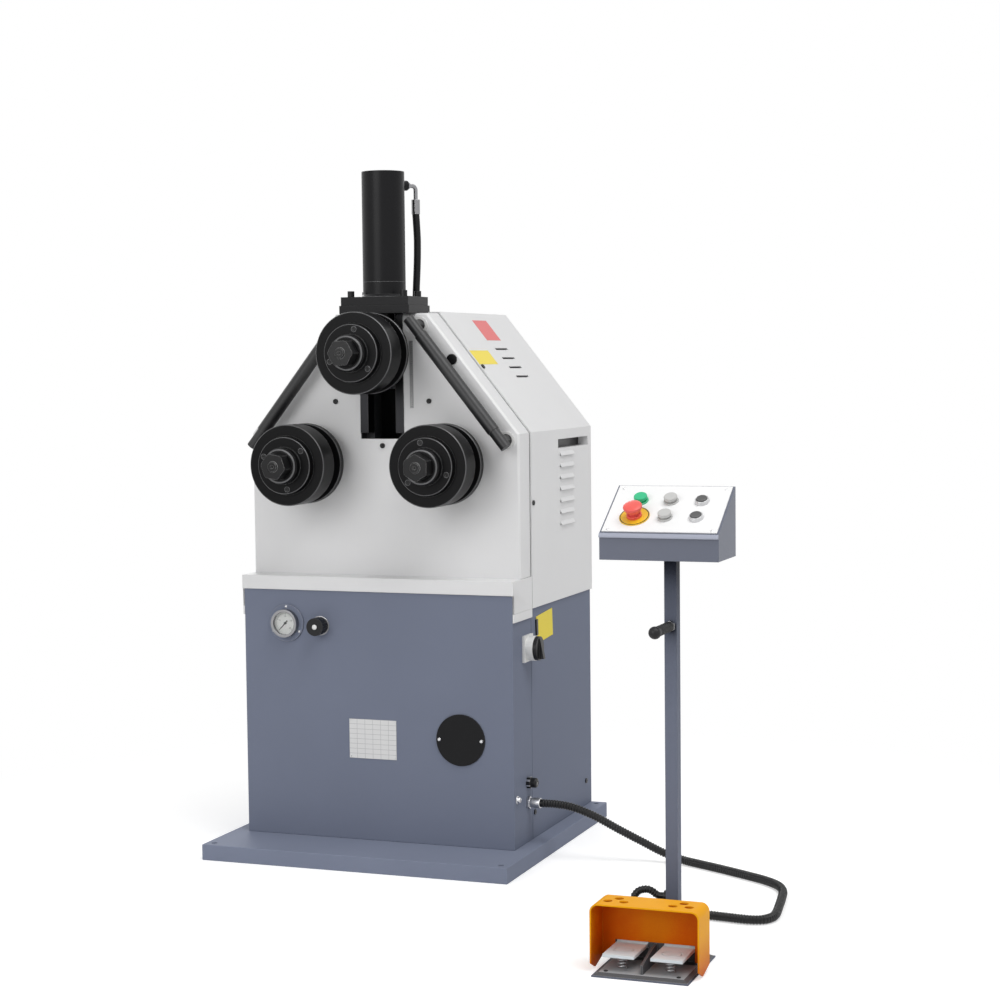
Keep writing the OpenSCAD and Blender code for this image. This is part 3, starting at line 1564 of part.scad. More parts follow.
module stop_button() {
    r = stop_d / 2;
    e = stop_head_h;
    color(red) on_panel(stop_place[0], stop_place[1]) {
        translate([0, 0, -8]) cylinder(d = button_cap_d, h = stop_h - e + 9);
        translate([0, 0, stop_h - e]) rotate_extrude() polygon(concat([[0, 0], [r - 1, 0], [r, 1]],
            [for (a = [0 : 15 : 90]) [r * cos(a), e * 0.4 + e * 0.6 * sin(a)]]));
    }
}

module upper_grey_button() { color(steel) button(button_places[1], button_raised); }
module lower_grey_button() { color(steel) button(button_places[2], button_raised); }
module upper_black_button() { color(black) button(button_places[3], button_low_h); }
module lower_black_button() { color(black) button(button_places[4], button_low_h); }

// Foot switch

module pedal_base() {
    w = pedal_base_w / 2;
    y1 = pedal_front_y + pedal_base_d;
    s = pedal_skirt;
    top = pedal_base_top;
    lug_top = pivot_z + pivot_d;
    color(steel) translate([ped_x, 0, 0]) {
        intersection() {
            along_x(-w, w) polygon([[pedal_front_y, foot_t], [y1, foot_t], [y1 - s, top],
                [pedal_front_y + s, top]]);
            along_y(pedal_front_y, y1) polygon([[-w, foot_t], [w, foot_t], [w - s, top], [s - w, top]]);
        }
        block([-housing_w / 2, housing_front_y, top - 1], [housing_w / 2, housing_back_y, housing_top]);
        block([-lug_half, pivot_y - 8, top - 1], [lug_half, housing_front_y + 1, lug_top]);
        for (m = [0, 1]) mirror([m, 0, 0])
            block([lug_out, guard_back_y, top - 1], [w - s, housing_front_y + 14, guard_gap_z + 20]);
        along_x(-2.5, 2.5) polygon([[pedal_front_y + 14, top - 1], [pedal_front_y + 14, top + 18],
            [guard_back_y - 30, lug_top - 4], [pivot_y, lug_top], [pivot_y, top - 1]]);
        bar_x(pivot_y, pivot_z, pivot_d, -lug_out - 3, lug_out + 3);
    }
}

// Outline of the guard seen from the front
module guard_arch(w, h, r) {
    translate([-w / 2, 0]) square([w, h - r]);
    translate([r - w / 2, 0]) square([w - 2 * r, h]);
    for (s = [-1, 1]) translate([s * (w / 2 - r), h - r]) circle(r);
}

module pedal_guard() {
    y0 = guard_front_y;
    y1 = guard_back_y;
    color(yellow) translate([ped_x, 0, 0]) difference() {
        along_y(y0, y1) guard_arch(guard_w, guard_h, guard_round);
        along_y(y0 - 1, y1 - guard_t) translate([0, -1])
            guard_arch(guard_w - 2 * guard_t, guard_h - guard_t + 1, guard_round - guard_t);
        block([-lug_out, y0 - 1, -1], [lug_out, y1 + 1, guard_gap_z]);
        block([guard_t - guard_w / 2, y0 - 1, -1], [guard_w / 2 - guard_t, y1 + 1, pedal_base_top + 1]);
        along_x(-guard_w, guard_w) polygon([[y0 - 1, -1], [y0 - 1, 16], [y0, 16], [y0 + guard_d * 0.35, 3],
            [y1, 14], [y1 + 1, 14], [y1 + 1, -1]]);
        for (s = [-1, 1], q = [[48, 45], [64, 22], [80, 45]])
            translate([s * q[0], y1 - q[1], guard_h - 2 * guard_t]) cylinder(d = 18, h = 4 * guard_t);
    }
}

// Pedal with its hub, on one side
module pedal(side) {
    x0 = side * pedal_dx / 2 - pedal_w / 2;
    translate([ped_x, 0, 0]) difference() {
        union() {
            block([x0, pivot_y - pedal_l, pedal_low], [x0 + pedal_w, pivot_y, pedal_low + pedal_t]);
            bar_x(pivot_y, pivot_z, pivot_d + 8, x0, x0 + pedal_w);
        }
        bar_x(pivot_y, pivot_z, pivot_d + 2 * fit, x0 - 1, x0 + pedal_w + 1);
        translate([x0 + pedal_w / 2, pivot_y - 0.6 * pedal_l, pedal_low + pedal_t - 1]) difference() {
            cylinder(d = pedal_mark_d, h = 2);
            translate([0, 0, -1]) cylinder(d = pedal_mark_d - 4, h = 4);
        }
    }
}

module left_pedal() { color(steel) pedal(-1); }
module right_pedal() { color(steel) pedal(1); }

// Points along the wire of a pedal spring
function spring_points(side) = let (r = (spring_d - spring_wire) / 2, rise = spring_h - spring_wire - 0.4,
    n = round(8 * spring_turns)) [for (i = [0 : n])
        [ped_x + side * pedal_dx / 2 + r * cos(45 * i), spring_y + r * sin(45 * i),
         pedal_base_top + spring_wire / 2 + 0.2 + rise * i / n]];

// Least gap between one curl of a spring and the next
function spring_gap(p) = min([for (i = [0 : len(p) - 9]) norm(p[i + 8] - p[i])]) - spring_wire;

module pedal_spring(side) {
    p = spring_points(side);
    echo(spring_gap = spring_gap(p));
    solid_tube(p, [for (q = p) spring_wire / 2], 6, [0, 0, 1]);
}

module left_pedal_spring() { color(steel) pedal_spring(-1); }
module right_pedal_spring() { color(steel) pedal_spring(1); }

base_pan();
cabinet_front();
lower_rear_cover();
ledge_plate();
front_housing();
upper_rear_cover();
cabinet_frame();
front_frame_plate();
rear_frame_plate();
shaft_bearings();
slide_gibs();
cylinder_bed();
cylinder_barrel();
hose_fitting();
hydraulic_hose();
left_side_rod();
right_side_rod();
socket_screws();
gauge_case();
gauge_lens();
gauge_needle();
regulator_valve();
regulator_knob();
blanking_covers();
switch_base();
switch_knob();
cable_glands();
oil_tank();
pump_motor();
valve_block();
gear_motor();
electric_panel();
slide_block();
top_shaft();
top_roll();
left_shaft();
left_roll();
left_gear();
right_shaft();
right_roll();
right_gear();
drive_pinion();
machine_conduit();
pedestal_post();
grip_handle();
console_box();
console_panel();
start_button();
stop_button();
upper_grey_button();
lower_grey_button();
upper_black_button();
lower_black_button();
pedal_base();
pedal_guard();
left_pedal();
right_pedal();
left_pedal_spring();
right_pedal_spring();
pedal_conduit();
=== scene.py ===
"""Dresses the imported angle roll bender: camera, studio, flexible lines, fine pieces and finishes.

The frame holds every solid in its place. New pieces are modelled in millimetres in the same frame,
and are scaled to metres when they are finished.
"""

import logging
import math
from dataclasses import dataclass, field
from enum import Enum
from typing import Optional, Sequence, Union

import bmesh
import bpy
from mathutils import Matrix, Vector


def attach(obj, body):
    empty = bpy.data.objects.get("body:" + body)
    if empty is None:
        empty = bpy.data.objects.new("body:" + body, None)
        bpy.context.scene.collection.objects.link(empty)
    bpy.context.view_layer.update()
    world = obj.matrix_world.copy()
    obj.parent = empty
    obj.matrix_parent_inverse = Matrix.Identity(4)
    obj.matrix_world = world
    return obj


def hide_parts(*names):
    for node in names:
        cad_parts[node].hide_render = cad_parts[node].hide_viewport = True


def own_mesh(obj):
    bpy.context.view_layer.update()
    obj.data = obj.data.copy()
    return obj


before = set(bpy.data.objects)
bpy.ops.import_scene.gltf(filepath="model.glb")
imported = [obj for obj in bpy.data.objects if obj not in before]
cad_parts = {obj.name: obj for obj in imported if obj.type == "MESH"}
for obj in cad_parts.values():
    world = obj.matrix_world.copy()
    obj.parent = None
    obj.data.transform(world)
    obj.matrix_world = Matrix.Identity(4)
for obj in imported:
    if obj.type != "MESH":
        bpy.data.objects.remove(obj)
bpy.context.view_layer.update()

MM = 0.001
SMOOTH_DEG = 40.0
SHARP_DEG = 25.0
# Places of the Mix node's factor and two colours, and of the colour that it gives
MIX_INPUTS = (0, 6, 7)
MIX_OUTPUT = 2
Colour = tuple[float, float, float]
Point = tuple[float, float, float]
Profile = Sequence[tuple[float, float]]
Tree = bpy.types.NodeTree
Socket = bpy.types.NodeSocket
Value = Union[Socket, float, Sequence[float]]
Inputs = dict[Union[int, str], Value]
log = logging.getLogger("roll_bender")


class Body(Enum):
    """The groups of solids that new pieces ride on."""

    MACHINE = "machine"
    TOP_ROLL = "top_roller"
    LEFT_ROLL = "left_roller"
    RIGHT_ROLL = "right_roller"
    REGULATOR = "regulator"
    START = "start"
    STOP = "stop"
    UPPER_GREY = "upper_grey"
    LOWER_GREY = "lower_grey"
    UPPER_BLACK = "upper_black"
    LOWER_BLACK = "lower_black"


# Shader nodes


def feed(tree: Tree, node: bpy.types.Node, inputs: Inputs) -> None:
    """Fills a node's inputs.

    Args:
        tree: Tree of the node.
        node: The node.
        inputs: A socket to link or a constant to set, for each input.
    """
    for key, value in inputs.items():
        if isinstance(value, Socket):
            tree.links.new(value, node.inputs[key])
        else:
            node.inputs[key].default_value = value


def add_node(
    tree: Tree, kind: str, inputs: Inputs, out: Union[int, str] = 0, **settings: Union[str, int, float]
) -> Socket:
    """Adds a shader node.

    Args:
        tree: Tree that gets the node.
        kind: Blender's name of the node, without its prefix.
        inputs: A socket or a constant for each input that is filled.
        out: Number or name of the output that is wanted.
        settings: Values of the node's own properties.

    Returns:
        The wanted output.
    """
    node = tree.nodes.new("ShaderNode" + kind)
    for label, value in settings.items():
        setattr(node, label, value)
    feed(tree, node, inputs)
    return node.outputs[out]


def calc(tree: Tree, operation: str, first: Value, second: Value) -> Socket:
    """Adds a Math node and returns its result."""
    return add_node(tree, "Math", {0: first, 1: second}, operation=operation)


def vector_calc(tree: Tree, operation: str, first: Value, second: Value, out: str = "Vector") -> Socket:
    """Adds a Vector Math node and returns its result."""
    return add_node(tree, "VectorMath", {0: first, 1: second}, out, operation=operation)


def noise(tree: Tree, vector: Socket, scale: Value, detail: float) -> Socket:
    """Adds a noise texture and returns its value."""
    return add_node(tree, "TexNoise", {"Vector": vector, "Scale": scale, "Detail": detail}, "Fac")


def spread(tree: Tree, value: Socket, least: float, most: float) -> Socket:
    """Adds a node that stretches 0 to 1 over a range, and returns its result."""
    return add_node(tree, "MapRange", {"Value": value, "To Min": least, "To Max": most})


def mix(tree: Tree, mask: Socket, below: Value, above: Value) -> Socket:
    """Mixes two colours by a mask.

    Args:
        tree: Tree that gets the node.
        mask: Socket of the mask.
        below: Socket or colour where the mask is 0.
        above: Socket or colour where the mask is 1.

    Returns:
        The mixed colour.
    """
    pair = [side if isinstance(side, Socket) else (*side, 1.0) for side in (below, above)]
    return add_node(tree, "Mix", dict(zip(MIX_INPUTS, (mask, *pair))), MIX_OUTPUT, data_type="RGBA")


def effect(tree: Tree, group: Tree, place: Socket, **values: float) -> bpy.types.Node:
    """Places a shared effect in a material.

    Args:
        tree: Tree of the material.
        group: The effect.
        place: Socket of the coordinates.
        values: Value of each named input.

    Returns:
        The group node.
    """
    node = tree.nodes.new("ShaderNodeGroup")
    node.node_tree = group
    feed(tree, node, {"Vector": place, **values})
    return node


class Effects:
    """Shader node groups, each built once and placed in many materials."""

    SLOW_SHARE = 0.012
    GRAIN_DETAIL = 3.0
    TONE_DETAIL = 4.0
    EDGE_SAMPLES = 4
    EDGE_GAIN = 9.0
    EDGE_NOISE = (70.0, 5.0)
    DUST_POWER = 3.0
    DUST_NOISE = (9.0, 6.0)
    # Samples, noise and least share of the painted shade
    HOLLOW_SAMPLES = 8
    HOLLOW_NOISE = (8.0, 3.0)
    HOLLOW_LEAST = 0.85
    HOLLOW_PATCHES = 0.3

    def __init__(self) -> None:
        """Builds the groups."""
        self.grain = self._grain()
        self.edges = self._edges()
        self.dust = self._dust()
        self.turning = self._turning()
        self.painted_shade = self._painted_shade()

    @staticmethod
    def _group(
        name: str, inputs: Sequence[str], outputs: Sequence[str]
    ) -> tuple[Tree, bpy.types.Node, bpy.types.Node]:
        """Starts a shader node group.

        Args:
            name: Name of the group.
            inputs: Label of each input.
            outputs: Label of each output.

        Returns:
            The tree, its input node and its output node.
        """
        tree = bpy.data.node_groups.new(name, "ShaderNodeTree")
        for way, labels in (("INPUT", inputs), ("OUTPUT", outputs)):
            for label in labels:
                kind = "Vector" if label in ("Vector", "Normal") else "Float"
                tree.interface.new_socket(label, in_out=way, socket_type="NodeSocket" + kind)
        return tree, tree.nodes.new("NodeGroupInput"), tree.nodes.new("NodeGroupOutput")

    def _grain(self) -> Tree:
        """Fine height of a coated or cast skin, and a slow drift of tone."""
        tree, start, end = self._group("surface grain", ["Vector", "Scale"], ["Height", "Tone"])
        vector, scale = start.outputs["Vector"], start.outputs["Scale"]
        slow = calc(tree, "MULTIPLY", scale, self.SLOW_SHARE)
        height = noise(tree, vector, scale, self.GRAIN_DETAIL)
        feed(tree, end, {"Height": height, "Tone": noise(tree, vector, slow, self.TONE_DETAIL)})
        return tree

    def _edges(self) -> Tree:
        """Softened normal at the edges, and a broken mask along them, which carries wear and, on several
        finishes, painted edge highlight.
        """
        tree, start, end = self._group("edge wear and painted glint", ["Vector", "Radius", "Amount"], ["Mask", "Normal"])
        radius = {"Radius": start.outputs["Radius"]}
        soft = add_node(tree, "Bevel", radius, "Normal", samples=self.EDGE_SAMPLES)
        normal = add_node(tree, "NewGeometry", {}, "Normal")
        turn = calc(tree, "SUBTRACT", 1.0, vector_calc(tree, "DOT_PRODUCT", soft, normal, "Value"))
        strong = calc(tree, "MULTIPLY", turn, self.EDGE_GAIN)
        broken = calc(tree, "MULTIPLY", strong, noise(tree, start.outputs["Vector"], *self.EDGE_NOISE))
        clipped = calc(tree, "MINIMUM", broken, 1.0)
        mask = calc(tree, "MULTIPLY", clipped, start.outputs["Amount"])
        feed(tree, end, {"Mask": mask, "Normal": soft})
        return tree

    def _dust(self) -> Tree:
        """Mask of the dust that settles on faces that look up."""
        tree, start, end = self._group("settled dust", ["Vector", "Amount"], ["Mask"])
        normal = add_node(tree, "NewGeometry", {}, "Normal")
        upward = calc(tree, "MAXIMUM", add_node(tree, "SeparateXYZ", {0: normal}, "Z"), 0.0)
        steep = calc(tree, "POWER", upward, self.DUST_POWER)
        patchy = calc(tree, "MULTIPLY", steep, noise(tree, start.outputs["Vector"], *self.DUST_NOISE))
        feed(tree, end, {"Mask": calc(tree, "MULTIPLY", patchy, start.outputs["Amount"])})
        return tree

    def _turning(self) -> Tree:
        """Height of the fine rings that a lathe leaves round an axis along Y."""
        tree, start, end = self._group("turning marks", ["Vector", "Rings"], ["Height"])
        flat = vector_calc(tree, "MULTIPLY", start.outputs["Vector"], (1.0, 0.0, 1.0))
        radius = add_node(tree, "VectorMath", {0: flat}, "Value", operation="LENGTH")
        waves = calc(tree, "MULTIPLY", radius, start.outputs["Rings"])
        feed(tree, end, {"Height": calc(tree, "SINE", waves, 0.0)})
        return tree

    def _painted_shade(self) -> Tree:
        """Mask of painted shade where other shapes stand close and shut off light, a little patchy."""
        labels = ["Vector", "Reach", "Strength", "Skyward", "Own"]
        tree, start, end = self._group("deep hollows", labels, ["Mask"])
        vector, reach, strength, skyward, own = (start.outputs[label] for label in labels)
        upward = add_node(tree, "CombineXYZ", {"Z": skyward})
        tilted = vector_calc(tree, "ADD", add_node(tree, "NewGeometry", {}, "Normal"), upward)
        unit = add_node(tree, "VectorMath", {0: tilted}, "Vector", operation="NORMALIZE")
        look = {"Distance": reach, "Normal": unit}
        sky = add_node(tree, "AmbientOcclusion", look, "AO", samples=self.HOLLOW_SAMPLES)
        others = calc(tree, "SUBTRACT", calc(tree, "SUBTRACT", 1.0, sky), own)
        strong = calc(tree, "MULTIPLY", calc(tree, "MAXIMUM", others, 0.0), strength)
        patches = calc(tree, "MULTIPLY", noise(tree, vector, *self.HOLLOW_NOISE), self.HOLLOW_PATCHES)
        patchy = calc(tree, "MULTIPLY", strong, calc(tree, "ADD", patches, self.HOLLOW_LEAST))
        feed(tree, end, {"Mask": calc(tree, "MINIMUM", patchy, 1.0)})
        return tree


EFFECTS = Effects()


# Finishes


@dataclass(frozen=True)
class Look:
    """A named material."""

    name: str

    def material(self) -> bpy.types.Material:
        """Finds the material, or builds it the first time it is asked for.

        Returns:
            The material.
        """
        material = bpy.data.materials.get(self.name)
        if not material:
            material = bpy.data.materials.new(self.name)
            material.use_nodes = True
            self._shade(material.node_tree, material.node_tree.nodes["Principled BSDF"])
        return material

    def _shade(self, tree: Tree, shader: bpy.types.Node) -> None:
        """Fills the inputs of the material's shader."""
        raise NotImplementedError


@dataclass(frozen=True)
class Finish(Look):
    """A coated, cast or moulded surface with grain, worn edges that on several finishes also carry painted
    highlight, and dust.

    Colours are linear. Grain scale is in waves per metre, depth and wear radius are in metres.
    """

    colour: Colour
    roughness: float = 0.4
    metallic: float = 0.0
    specular: float = 0.5
    grain_scale: float = 420.0
    grain_depth: float = 0.00006
    drift: float = 0.05
    # Colour of the edges: wear, and on dark steel, rubber and the guard also painted highlight
    worn: Colour = (0.45, 0.45, 0.46)
    wear: float = 0.15
    wear_radius: float = 0.0016
    dust: float = 0.05
    dust_colour: Colour = (0.42, 0.40, 0.37)
    rough_least: float = 0.02
    rough_drift: float = 0.07

    def _shade(self, tree: Tree, shader: bpy.types.Node) -> None:
        """Fills the colour, the roughness and the relief.

        Args:
            tree: Tree of the material.
            shader: The material's shader.
        """
        place = add_node(tree, "TexCoord", {}, "Object")
        grain = effect(tree, EFFECTS.grain, place, Scale=self.grain_scale).outputs
        edges = effect(tree, EFFECTS.edges, place, Radius=self.wear_radius, Amount=self.wear).outputs
        dust = effect(tree, EFFECTS.dust, place, Amount=self.dust).outputs
        worn = mix(tree, edges["Mask"], self._tone(tree, place, grain["Tone"]), self.worn)
        smooth = max(self.rough_least, self.roughness - self.rough_drift)
        coarse = min(1.0, self.roughness + self.rough_drift)
        relief = {
            "Strength": 1.0, "Distance": self.grain_depth, "Normal": edges["Normal"],
            "Height": self._height(tree, place, grain["Height"]),
        }
        feed(tree, shader, {
            "Metallic": self.metallic, "Specular IOR Level": self.specular,
            "Base Color": mix(tree, dust["Mask"], worn, self.dust_colour),
            "Roughness": spread(tree, grain["Tone"], smooth, coarse),
            "Normal": add_node(tree, "Bump", relief),
        })

    def _tone(self, tree: Tree, place: Socket, tone: Socket) -> Socket:
        """Colour of the surface before wear and dust.

        Args:
            tree: Tree of the material.
            place: Socket of the coordinates.
            tone: Socket of the slow drift.

        Returns:
            The colour's socket.
        """
        darker = tuple(c * (1.0 - self.drift) for c in self.colour)
        lighter = tuple(min(1.0, c * (1.0 + self.drift)) for c in self.colour)
        clean = mix(tree, tone, darker, lighter)
        layer = self._layer(tree, place)
        return mix(tree, layer[0], clean, layer[1]) if layer else clean

    def _layer(self, tree: Tree, place: Socket) -> Optional[tuple[Socket, Colour]]:
        """Mask and colour of what lies over the clean tone, which here is nothing."""
        return None

    def _height(self, tree: Tree, place: Socket, grain: Socket) -> Socket:
        """Height of the surface's relief, which is its grain."""
        return grain


@dataclass(frozen=True)
class TurnedFinish(Finish):
    """A turned surface with fine rings round its own axis along Y."""

    axis: tuple[float, float] = (0.0, 0.0)
    rings: float = 3200.0
    ring_share: float = 0.35

    def _height(self, tree: Tree, place: Socket, grain: Socket) -> Socket:
        """Height of the turning marks, broken by the grain.

        Args:
            tree: Tree of the material.
            place: Socket of the coordinates.
            grain: Socket of the grain's height.

        Returns:
            The height's socket.
        """
        centre = add_node(
            tree, "Mapping", {"Vector": place, "Location": (-self.axis[0], 0.0, -self.axis[1])}
        )
        marks = effect(tree, EFFECTS.turning, centre, Rings=self.rings).outputs["Height"]
        return add_node(tree, "Math", {0: marks, 1: self.ring_share, 2: grain}, operation="MULTIPLY_ADD")


@dataclass(frozen=True)
class PaintedShadeFinish(Finish):
    """A coat with painted shade, darker where other shapes stand close.

    Skyward leans the search upward, and own is the share that the surface itself then shuts off.
    """

    # Colour of the painted shade
    deep: Colour = (0.0, 0.0, 0.0)
    reach: float = 0.1
    strength: float = 1.0
    skyward: float = 0.0
    own: float = 0.0

    def _layer(self, tree: Tree, place: Socket) -> Optional[tuple[Socket, Colour]]:
        """Mask and colour of the painted shade."""
        values = {"Reach": self.reach, "Strength": self.strength, "Skyward": self.skyward, "Own": self.own}
        return effect(tree, EFFECTS.painted_shade, place, **values).outputs["Mask"], self.deep


@dataclass(frozen=True)
class RuledFinish(Finish):
    """A plate with a plain ruled table, in the plane of X and Z."""

    line: Colour = (0.42, 0.42, 0.43)
    cell: tuple[float, float] = (0.020, 0.0116)
    line_width: float = 0.0005
    line_blur: float = 0.1
    corner: tuple[float, float] = (0.0, 0.0)

    def _layer(self, tree: Tree, place: Socket) -> Optional[tuple[Socket, Colour]]:
        """Mask and colour of the rules.

        Args:
            tree: Tree of the material.
            place: Socket of the coordinates.

        Returns:
            The mask's socket and the colour.
        """
        axes = add_node(tree, "SeparateXYZ", {0: place}).node.outputs
        flat = add_node(tree, "CombineXYZ", {"X": axes["X"], "Y": axes["Z"]})
        corner = (-self.corner[0], -self.corner[1], 0.0)
        table = {
            "Vector": add_node(tree, "Mapping", {"Vector": flat, "Location": corner}), "Scale": 1.0,
            "Mortar Size": self.line_width, "Mortar Smooth": self.line_blur,
            "Brick Width": self.cell[0], "Row Height": self.cell[1],
        }
        return add_node(tree, "TexBrick", table, "Fac", offset=0.0, squash=1.0), self.line


@dataclass(frozen=True)
class GlassFinish(Look):
    """Clear glass, with a trace of smears."""

    ior: float = 1.45
    colour: Colour = (0.97, 0.98, 0.98)
    smear_scale: float = 900.0
    smears: tuple[float, float] = (0.01, 0.06)

    def _shade(self, tree: Tree, shader: bpy.types.Node) -> None:
        """Fills the clear shader and its uneven roughness.

        Args:
            tree: Tree of the material.
            shader: The material's shader.
        """
        place = add_node(tree, "TexCoord", {}, "Object")
        tone = effect(tree, EFFECTS.grain, place, Scale=self.smear_scale).outputs["Tone"]
        feed(tree, shader, {
            "Transmission Weight": 1.0, "IOR": self.ior, "Base Color": (*self.colour, 1.0),
            "Roughness": spread(tree, tone, *self.smears),
        })


def grey(tone: float) -> Colour:
    """A colour without a hue."""
    return (tone, tone, tone)


SHEET = {"wear": 0.35, "worn": (0.34, 0.36, 0.42)}
CAST = {"specular": 0.25, "grain_scale": 900.0, "grain_depth": 0.00012, "dust": 0.02}
MOULDED = {"grain_scale": 1500.0, "wear": 0.1, "dust": 0.02}
VINYL = {"wear": 0.1, "dust": 0.02}
UNWORN = {"wear": 0.0, "dust": 0.0}

WHITE_COAT = Finish("white powder coat", (0.75, 0.75, 0.755), 0.42, specular=0.3, wear=0.25, worn=grey(0.85))
GREY_COAT = Finish("grey powder coat", (0.183, 0.205, 0.272), 0.46, specular=0.02, **SHEET)
# Painted light: the grey coat made lighter on the pan, for light that the body keeps off its top and front
PAN_LIT_COAT = Finish(
    "pan coat painted lighter", (0.216, 0.242, 0.322), 0.46, specular=0.02, wear=0.35, worn=(0.38, 0.40, 0.46)
)
# Painted shade: the grey coat made darker on the console, so that its front reads shaded
CONSOLE_SHADED_COAT = Finish("console coat painted darker", (0.106, 0.119, 0.164), 0.42, specular=0.6, **SHEET)
LIP_COAT = Finish("lit lip coat", (0.38, 0.40, 0.48), 0.42, specular=0.1, wear=0.2, worn=(0.5, 0.5, 0.55))
# Painted shade: the post darkens towards the console above it, which shuts off light from above
POST_COAT = PaintedShadeFinish(
    "post coat with painted shade", (0.168, 0.187, 0.246), 0.46, specular=0.05, **SHEET,
    deep=(0.008, 0.010, 0.018), reach=0.3, strength=1.6, skyward=1.0, own=0.16,
)
BLACK_COAT = Finish(
    "black satin coat", (0.008, 0.008, 0.009), 0.33, specular=0.15, wear=0.6, worn=grey(0.10), dust=0.0
)
ROD_BLACK = Finish("black rod coat", (0.014, 0.014, 0.015), 0.42, wear=0.6, worn=grey(0.14), dust=0.0)
FRAME_COAT = Finish("dark frame coat", (0.030, 0.031, 0.034), 0.5, wear=0.3, worn=grey(0.15))
TANK_COAT = Finish("blue tank coat", (0.05, 0.11, 0.22), 0.4, wear=0.3, worn=(0.2, 0.25, 0.33))
# The lighter edge colour is partly wear and partly painted highlight along the edges
BLACK_OXIDE = Finish(
    "black oxide steel", (0.005, 0.005, 0.0055), 0.34, specular=0.28, wear=0.8, worn=grey(0.09), dust=0.0
)
# The bright edge colour is painted highlight on the nut's corners, partly wear
NUT_STEEL = Finish(
    "blackened nut steel", (0.007, 0.007, 0.0075), 0.30, specular=0.25, wear=1.0, worn=grey(0.34), dust=0.0
)
# Thin bright rings on turned edges and cylinder lines: partly wear, partly painted highlight
WEAR_AND_GLINT_STEEL = Finish("worn steel with painted glint", (0.13, 0.13, 0.133), 0.35, 1.0, **UNWORN)
GIB_STEEL = Finish("oiled gib steel", (0.028, 0.028, 0.030), 0.36, 1.0, wear=0.6, worn=grey(0.2), dust=0.0)
BRIGHT_STEEL = Finish(
    "bright zinc steel", (0.62, 0.62, 0.63), 0.28, 1.0, drift=0.08, wear=0.2, worn=grey(0.8)
)
DULL_ZINC = Finish("dull zinc steel", (0.30, 0.30, 0.31), 0.30, 1.0, drift=0.10, wear=0.4, worn=grey(0.6))
GROUND_STEEL = Finish("ground steel", (0.30, 0.30, 0.31), 0.32, 1.0, drift=0.10, wear=0.3, worn=grey(0.6))
GEAR_STEEL = Finish("oiled gear steel", (0.14, 0.14, 0.15), 0.35, 1.0, wear=0.5, worn=grey(0.45))
CAST_ALLOY = Finish(
    "cast alloy", (0.70, 0.76, 0.79), 0.6, drift=0.12, wear=0.5, worn=(0.72, 0.72, 0.71), **CAST
)
TREAD_ALLOY = Finish(
    "worn tread alloy", (0.36, 0.365, 0.375), 0.55, drift=0.15, wear=0.6, worn=grey(0.6), **CAST
)
BASE_ALLOY = Finish(
    "painted cast base", (0.085, 0.085, 0.09), 0.5, drift=0.12, wear=0.6, worn=grey(0.45), **CAST
)
# Painted shade darkens the inside of the guard where its walls stand close; the lighter yellow on its edges
# is painted highlight
GUARD_YELLOW = PaintedShadeFinish(
    "yellow guard enamel", (0.90, 0.40, 0.006), 0.45, specular=0.06, wear=0.35, worn=(0.95, 0.52, 0.06),
    dust=0.0, deep=(0.60, 0.095, 0.0), reach=0.09, strength=2.0,
)
# The grey that the edge mask puts on the rib crests is painted glint
RUBBER = Finish(
    "ribbed black plastic", (0.004, 0.004, 0.0045), 0.27, specular=0.30, wear=1.0, worn=grey(0.15),
    wear_radius=0.0012, dust=0.0,
)
HOSE_RUBBER = Finish("hose rubber", (0.008, 0.008, 0.009), 0.45, specular=0.2, **UNWORN)
GRIP_RUBBER = Finish("grip rubber", (0.012, 0.012, 0.013), 0.45, specular=0.3, wear=0.1, dust=0.0)
BLACK_PLASTIC = Finish(
    "black moulded plastic", (0.008, 0.008, 0.009), 0.34, specular=0.3, grain_scale=1500.0, dust=0.0
)
CAP_BLACK = Finish("black cap", (0.075, 0.075, 0.076), 0.38, **MOULDED)
WHITE_PLASTIC = Finish("white moulded plastic", (0.74, 0.74, 0.73), 0.38, grain_scale=1500.0, wear=0.1)
PANEL_WHITE = Finish("white console plate", grey(0.86), 0.45, worn=grey(0.7), dust=0.01)
GREEN_PLASTIC = Finish("green cap", (0.016, 0.49, 0.22), 0.35, **MOULDED)
RED_PLASTIC = Finish("red cap", (0.82, 0.105, 0.085), 0.35, **MOULDED)
GREY_PLASTIC = Finish("grey cap", (0.52, 0.52, 0.51), 0.4, **MOULDED)
DISC_YELLOW = Finish("yellow disc", (0.85, 0.52, 0.02), 0.45, **VINYL)
DIAL_WHITE = Finish("dial card", (0.80, 0.80, 0.78), 0.6, **UNWORN)
DIAL_INK = Finish("dial ink", grey(0.02), 0.6, **UNWORN)
STICKER_RED = Finish("red vinyl", (0.75, 0.13, 0.13), 0.4, **VINYL)
STICKER_YELLOW = Finish("yellow vinyl", (0.88, 0.70, 0.03), 0.4, **VINYL)
TAG_YELLOW = Finish("yellow tag card", (0.80, 0.64, 0.03), 0.5, wear=0.2, dust=0.0)
SCALE_STEEL = Finish("etched scale steel", (0.34, 0.34, 0.345), 0.38, 0.2, wear=0.2, dust=0.0)
DATA_PLATE = RuledFinish(
    "ruled data plate", grey(0.66), 0.4, 0.2, wear=0.1, dust=0.0, corner=(-0.071, 0.230)
)
GLASS = GlassFinish("gauge glass")


# Modelling


def stand(at: Point, tilt_deg: float = 0.0, axis: str = "X") -> Matrix:
    """Place of a shape along Z, tilted about an axis at its foot."""
    return Matrix.Translation(at) @ Matrix.Rotation(math.radians(tilt_deg), 4, axis)


def forward(at: Point) -> Matrix:
    """Place of a shape along Z that looks to the front of the machine."""
    return stand(at, 90.0)


def rightward(at: Point) -> Matrix:
    """Place of a shape along Z that looks to the right of the machine."""
    return stand(at, 90.0, "Y")


